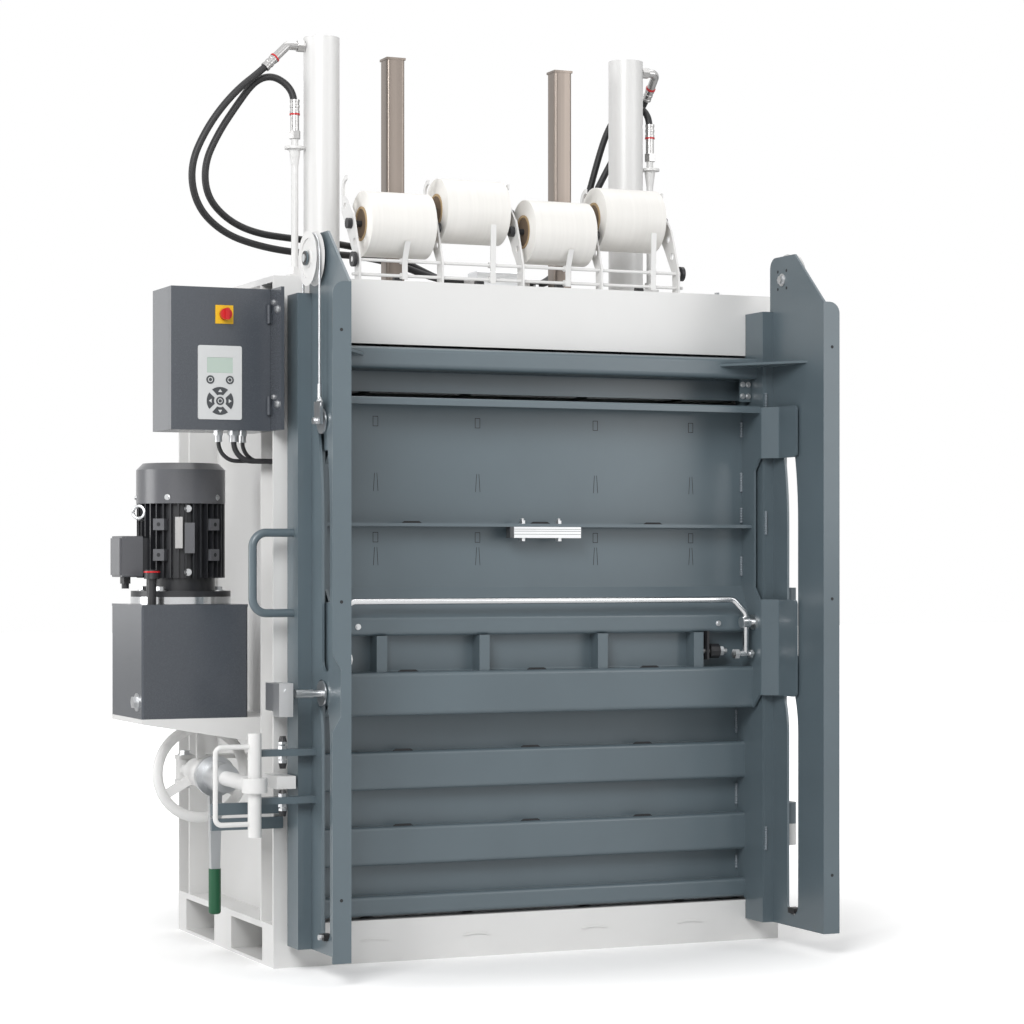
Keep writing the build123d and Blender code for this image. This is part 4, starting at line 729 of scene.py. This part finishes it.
def notches():
    """Dark lenses on the folded edges of the flap and of the door ribs, painted shade for notches in the
    edges.
    """
    xs, half, bevel, high, thick = (-350, -10, 300), 27, 8, 5, 3
    flap_edges = [(0, -50, 1065), (-10, -52, 706)]
    rib_edges = [(0, 8, 511), (0, 8, 328)]
    for name, body, edges in (("flap_notches", "flap", flap_edges), ("door_notches", "door", rib_edges)):
        lenses = Shape()
        for x in xs:
            for dx, y, z in edges:
                left, right, top = x + dx - half, x + dx + half, z + high
                outline = [(left, y, z), (right, y, z), (right - bevel, y, top), (left + bevel, y, top)]
                lenses.plate(outline, (0, thick, 0))
        piece(name, lenses, gap_shade, body, smooth=False)


def welds():
    """Short weld runs on the flap's ends and strap guides, and along the stiles and weight boxes."""
    end_x, flap_y, end_runs = 573, -9, ((935, 985), (1070, 1110), (1150, 1200), (1290, 1330))
    stile_x, stile_y, stile_runs = 586, 43, ((345, 400), (530, 590), (180, 215))
    box_x, box_y, box_runs = 596, -98, ((240, 300), (640, 700), (1040, 1100), (1340, 1400))
    guide_side, guide_low, guide_high = 14, 720, 775
    flap, door = Shape(), Shape()
    for side in SIDES:
        for low, high in end_runs:
            flap.weld((side * end_x, flap_y, low), (side * end_x, flap_y, high))
        for low, high in stile_runs:
            door.weld((side * stile_x, stile_y, low), (side * stile_x, stile_y, high))
        for low, high in box_runs:
            door.weld((side * box_x, box_y, low), (side * box_x, box_y, high))
    for x in STRAP_XS:
        flap.weld((x + guide_side, flap_y, guide_low), (x + guide_side, flap_y, guide_high))
    # The beads take the lighter copy of the grey paint, a painted sheen.
    piece("flap_welds", flap, weld_sheen_paint, "flap")
    piece("door_welds", door, weld_sheen_paint, "door")


def bail_bolts():
    """Bolts with nuts at the feet of the bail handle."""
    y, z = -75, 738
    shank_x0, shank_x1, shank_r = 542, 572, 6
    nut_x0, nut_x1, nut_r = 560, 568, 11
    foot_nut_x0, foot_nut_x1, foot_nut_r = 516, 528, 13
    bolts = Shape()
    for side in SIDES:
        bolts.drum((side * shank_x0, y, z), (side * shank_x1, y, z), shank_r)
        bolts.drum((side * nut_x0, y, z), (side * nut_x1, y, z), nut_r, sides=6)
        bolts.drum((side * foot_nut_x0, y, z), (side * foot_nut_x1, y, z), foot_nut_r, sides=6)
    piece("bail_bolts", bolts, zinc, "bail")


# Door


def rail_brackets():
    """Bolted brackets under the ends of the top rail."""
    x0, x1, face, back, z0, z1 = 556, 587, -34, -28, 1380, 1438
    bolt_xs, bolt_zs, bolt_head = (563, 579), (1394, 1424), (5, 5)
    brackets, bolts = Shape(), Shape()
    for side in SIDES:
        brackets.block(side * x0, side * x1, face, back, z0, z1)
        for x in bolt_xs:
            for z in bolt_zs:
                bolts.bolt((side * x, face, z), (0, -1, 0), *bolt_head)
    piece("rail_brackets", brackets, grey, "door", smooth=False)
    piece("rail_bolts", bolts, zinc, "door")


def post_fittings():
    """Holes in the posts as dark discs of painted shade, axle bolts inside the ears, and rubber stops with
    their bolts at the slot feet.
    """
    flange_x, flange_face, flange_zs, hole_r, flange_hole_t = 641, -353, (200, 880, 1500), 4, 0.15
    web_x, ear_y, ear_z, ear_pitch, ear_hole_t, ear_head = 617, -144, 1683, 22, 0.2, (11, 9)
    slot_y, stop_half, stop_x0, stop_x1, stop_z0, stop_z1 = -198, 16, 612, 634, 90, 104
    stop_bolt_r, stop_bolt_x0, stop_bolt_x1, stop_bolt_z = 7, 623, 642, 97
    holes, bolts, stops = Shape(), Shape(), Shape()
    for side in SIDES:
        for z in flange_zs:
            x = side * flange_x
            holes.drum((x, flange_face, z), (x, flange_face - flange_hole_t, z), hole_r)
        for dy in (-ear_pitch, ear_pitch):
            for dz in (-ear_pitch, ear_pitch):
                y, z = ear_y + dy, ear_z + dz
                holes.drum((side * web_x, y, z), (side * (web_x - ear_hole_t), y, z), hole_r)
        bolts.bolt((side * web_x, ear_y, ear_z), (-side, 0, 0), *ear_head)
        stops.block(side * stop_x0, side * stop_x1, slot_y - stop_half, slot_y + stop_half, stop_z0, stop_z1)
        bolts.drum((side * stop_bolt_x0, slot_y, stop_bolt_z), (side * stop_bolt_x1, slot_y, stop_bolt_z),
                   stop_bolt_r, sides=6)
    piece("flange_holes", holes, gap_shade, "door", smooth=False)
    piece("ear_bolts", bolts, zinc, "door")
    piece("slot_stops", stops, rubber, "door", smooth=False)


def claw_bolts():
    """Adjusting bolts of the lock claws: nuts, lock nuts where there is room, and black end caps."""
    x, y, low_z, high_z = -700, -112, 412, 524
    long_reach, short_reach = 38, 24
    claw_half, nut_end, nut_r, rod_r = 8, 16, 11, 6
    lock_nut_h, lock_nut_r, cap_h, cap_r, cap_end_r = 6, 10, 13, 10, 7
    # The stack under the door rest is short
    stacks = [(low_z, -1, long_reach), (low_z, 1, short_reach),
              (high_z, -1, long_reach), (high_z, 1, long_reach)]
    nuts, caps = Shape(), Shape()
    for z, up, reach in stacks:
        cap = max(nut_end, reach - cap_h)
        lock_nut = cap - lock_nut_h
        nuts.drum((x, y, z + up * claw_half), (x, y, z + up * nut_end), nut_r, sides=6)
        if lock_nut > nut_end:
            nuts.drum((x, y, z + up * nut_end), (x, y, z + up * lock_nut), rod_r)
            nuts.drum((x, y, z + up * lock_nut), (x, y, z + up * cap), lock_nut_r, sides=6)
        caps.drum((x, y, z + up * cap), (x, y, z + up * reach), cap_r, cap_end_r)
    piece("claw_nuts", nuts, zinc, "door")
    piece("claw_caps", caps, black, "door")


# Frame


def frame_bolts():
    """Bolts of the lock anchor, the interlock switch and the deck."""
    anchor_x, anchor_y, anchor_top, anchor_foot, anchor_head = -781, 405, 487, 417, (13, 12)
    switch_screw, switch_screw_head = (-722, -202, 672), (5, 4)
    plate_bolt, plate_bolt_head = (-681, -8, 672), (6, 5)
    deck_xs, deck_y, deck_head = (12, 520), 24, (7, 7)
    bolts = Shape()
    bolts.bolt((anchor_x, anchor_y, anchor_top), UP, *anchor_head)
    bolts.bolt((anchor_x, anchor_y, anchor_foot), (0, 0, -1), *anchor_head)
    bolts.bolt(switch_screw, (0, -1, 0), *switch_screw_head)
    bolts.bolt(plate_bolt, (0, -1, 0), *plate_bolt_head)
    for x in deck_xs:
        bolts.bolt((x, deck_y, DECK_Z), UP, *deck_head)
    piece("frame_bolts", bolts, zinc, "frame")


def base_lugs():
    """Flat strap loops on the front of the base, one on each strap line."""
    outer_r, inner_r, outer_z, inner_z, proud, start, end = 38, 30, 52, 50, 3, 20, 160
    height_share = 0.2
    flat_plane = (STRAIGHT_X, (0, 0, height_share))
    lugs = Shape()
    for x in STRAP_XS:
        rim = arc((x, 0, outer_z), outer_r, start, end, 14, flat_plane)
        rim += reversed(arc((x, 0, inner_z), inner_r, start, end, 14, flat_plane))
        lugs.plate(rim, (0, -proud, 0))
    piece("base_lugs", lugs, white, "frame")


for dress in (hoses, hose_ends, pipe_nuts, roll_faces, bore_shade_discs, strap_guides, strap_entries, ropes,
              keypad, switch_plate, cabinet_fittings, motor_pads, motor_fittings, tank_fittings,
              flap_bolts, plunger, flap_marks, notches, welds, bail_bolts,
              rail_brackets, post_fittings, claw_bolts, frame_bolts, base_lugs):
    dress()

# Stage, light and camera, in metres


def floor_material():
    """The floor glows for the camera alone, more with distance, so that it meets the white background."""
    look = bpy.data.materials.new("floor")
    look.use_nodes = True
    tree = look.node_tree
    shader = tree.nodes["Principled BSDF"]
    shader.inputs["Base Color"].default_value = (0.9, 0.9, 0.9, 1)
    shader.inputs["Roughness"].default_value = 0.7
    shader.inputs["Emission Color"].default_value = (1, 1, 1, 1)
    spot = tree.nodes.new("ShaderNodeTexCoord")
    away = tree.nodes.new("ShaderNodeVectorMath")
    away.operation = "LENGTH"
    link(tree, spot, "Object", away, "Vector")
    fade = tree.nodes.new("ShaderNodeMapRange")
    fade.inputs["From Min"].default_value = 0.7
    fade.inputs["From Max"].default_value = 2.4
    fade.inputs["To Min"].default_value = 0.14
    fade.inputs["To Max"].default_value = 1.0
    link(tree, away, "Value", fade, "Value")
    path = tree.nodes.new("ShaderNodeLightPath")
    glow = tree.nodes.new("ShaderNodeMath")
    glow.operation = "MULTIPLY"
    link(tree, path, "Is Camera Ray", glow, 0)
    link(tree, fade, "Result", glow, 1)
    link(tree, glow, "Value", shader, "Emission Strength")
    return look


def floor():
    half = 30
    mesh = bpy.data.meshes.new("floor")
    corners = [(-half, -half, 0), (half, -half, 0), (half, half, 0), (-half, half, 0)]
    mesh.from_pydata(corners, [], [(0, 1, 2, 3)])
    mesh.materials.append(floor_material())
    thing = bpy.data.objects.new("floor", mesh)
    bpy.context.collection.objects.link(thing)


def studio_world():
    """White for the camera and in reflections, and a softer grey as light."""
    world = bpy.data.worlds.new("studio")
    bpy.context.scene.world = world
    world.use_nodes = True
    tree = world.node_tree
    sky = tree.nodes["Background"]
    sky.inputs["Color"].default_value = (1, 1, 1, 1)
    path = tree.nodes.new("ShaderNodeLightPath")
    seen = tree.nodes.new("ShaderNodeMath")
    seen.operation = "MAXIMUM"
    link(tree, path, "Is Camera Ray", seen, 0)
    link(tree, path, "Is Glossy Ray", seen, 1)
    level = tree.nodes.new("ShaderNodeMapRange")
    level.inputs["To Min"].default_value = 0.28
    level.inputs["To Max"].default_value = 1.0
    link(tree, seen, "Value", level, "Value")
    link(tree, level, "Result", sky, "Strength")


def area_light(name, place, target, size, power):
    lamp = bpy.data.lights.new(name, "AREA")
    lamp.shape = "RECTANGLE"
    lamp.size, lamp.size_y = size
    lamp.energy = power
    holder = bpy.data.objects.new(name, lamp)
    bpy.context.collection.objects.link(holder)
    holder.location = place
    holder.rotation_euler = (Vector(target) - Vector(place)).to_track_quat("-Z", "Y").to_euler()


def camera():
    """At the photograph's angle: 23.5 degrees from the front, towards the left."""
    view = bpy.data.cameras.new("camera")
    view.sensor_width = 36
    view.lens = 97.47
    view.shift_y = 0.0481
    holder = bpy.data.objects.new("camera", view)
    bpy.context.collection.objects.link(holder)
    holder.location = (-2.8012, -6.6871, 0.9726)
    holder.rotation_euler = (math.radians(90), 0, math.radians(-23.5))
    bpy.context.scene.camera = holder
    bpy.context.scene.view_settings.view_transform = "Standard"


floor()
studio_world()
area_light("key", (-3.4, -4.6, 4.0), (0, 0, 1.2), (2.6, 2.6), 255)
area_light("side", (-5.2, 0.9, 1.8), (0, 0.1, 1.2), (2.4, 3.0), 90)
area_light("fill", (3.6, -5.0, 2.6), (0, 0, 1.0), (2.6, 3.2), 70)
area_light("top", (0.4, 0.2, 5.2), (0, 0, 1.0), (3.4, 3.4), 70)
camera()
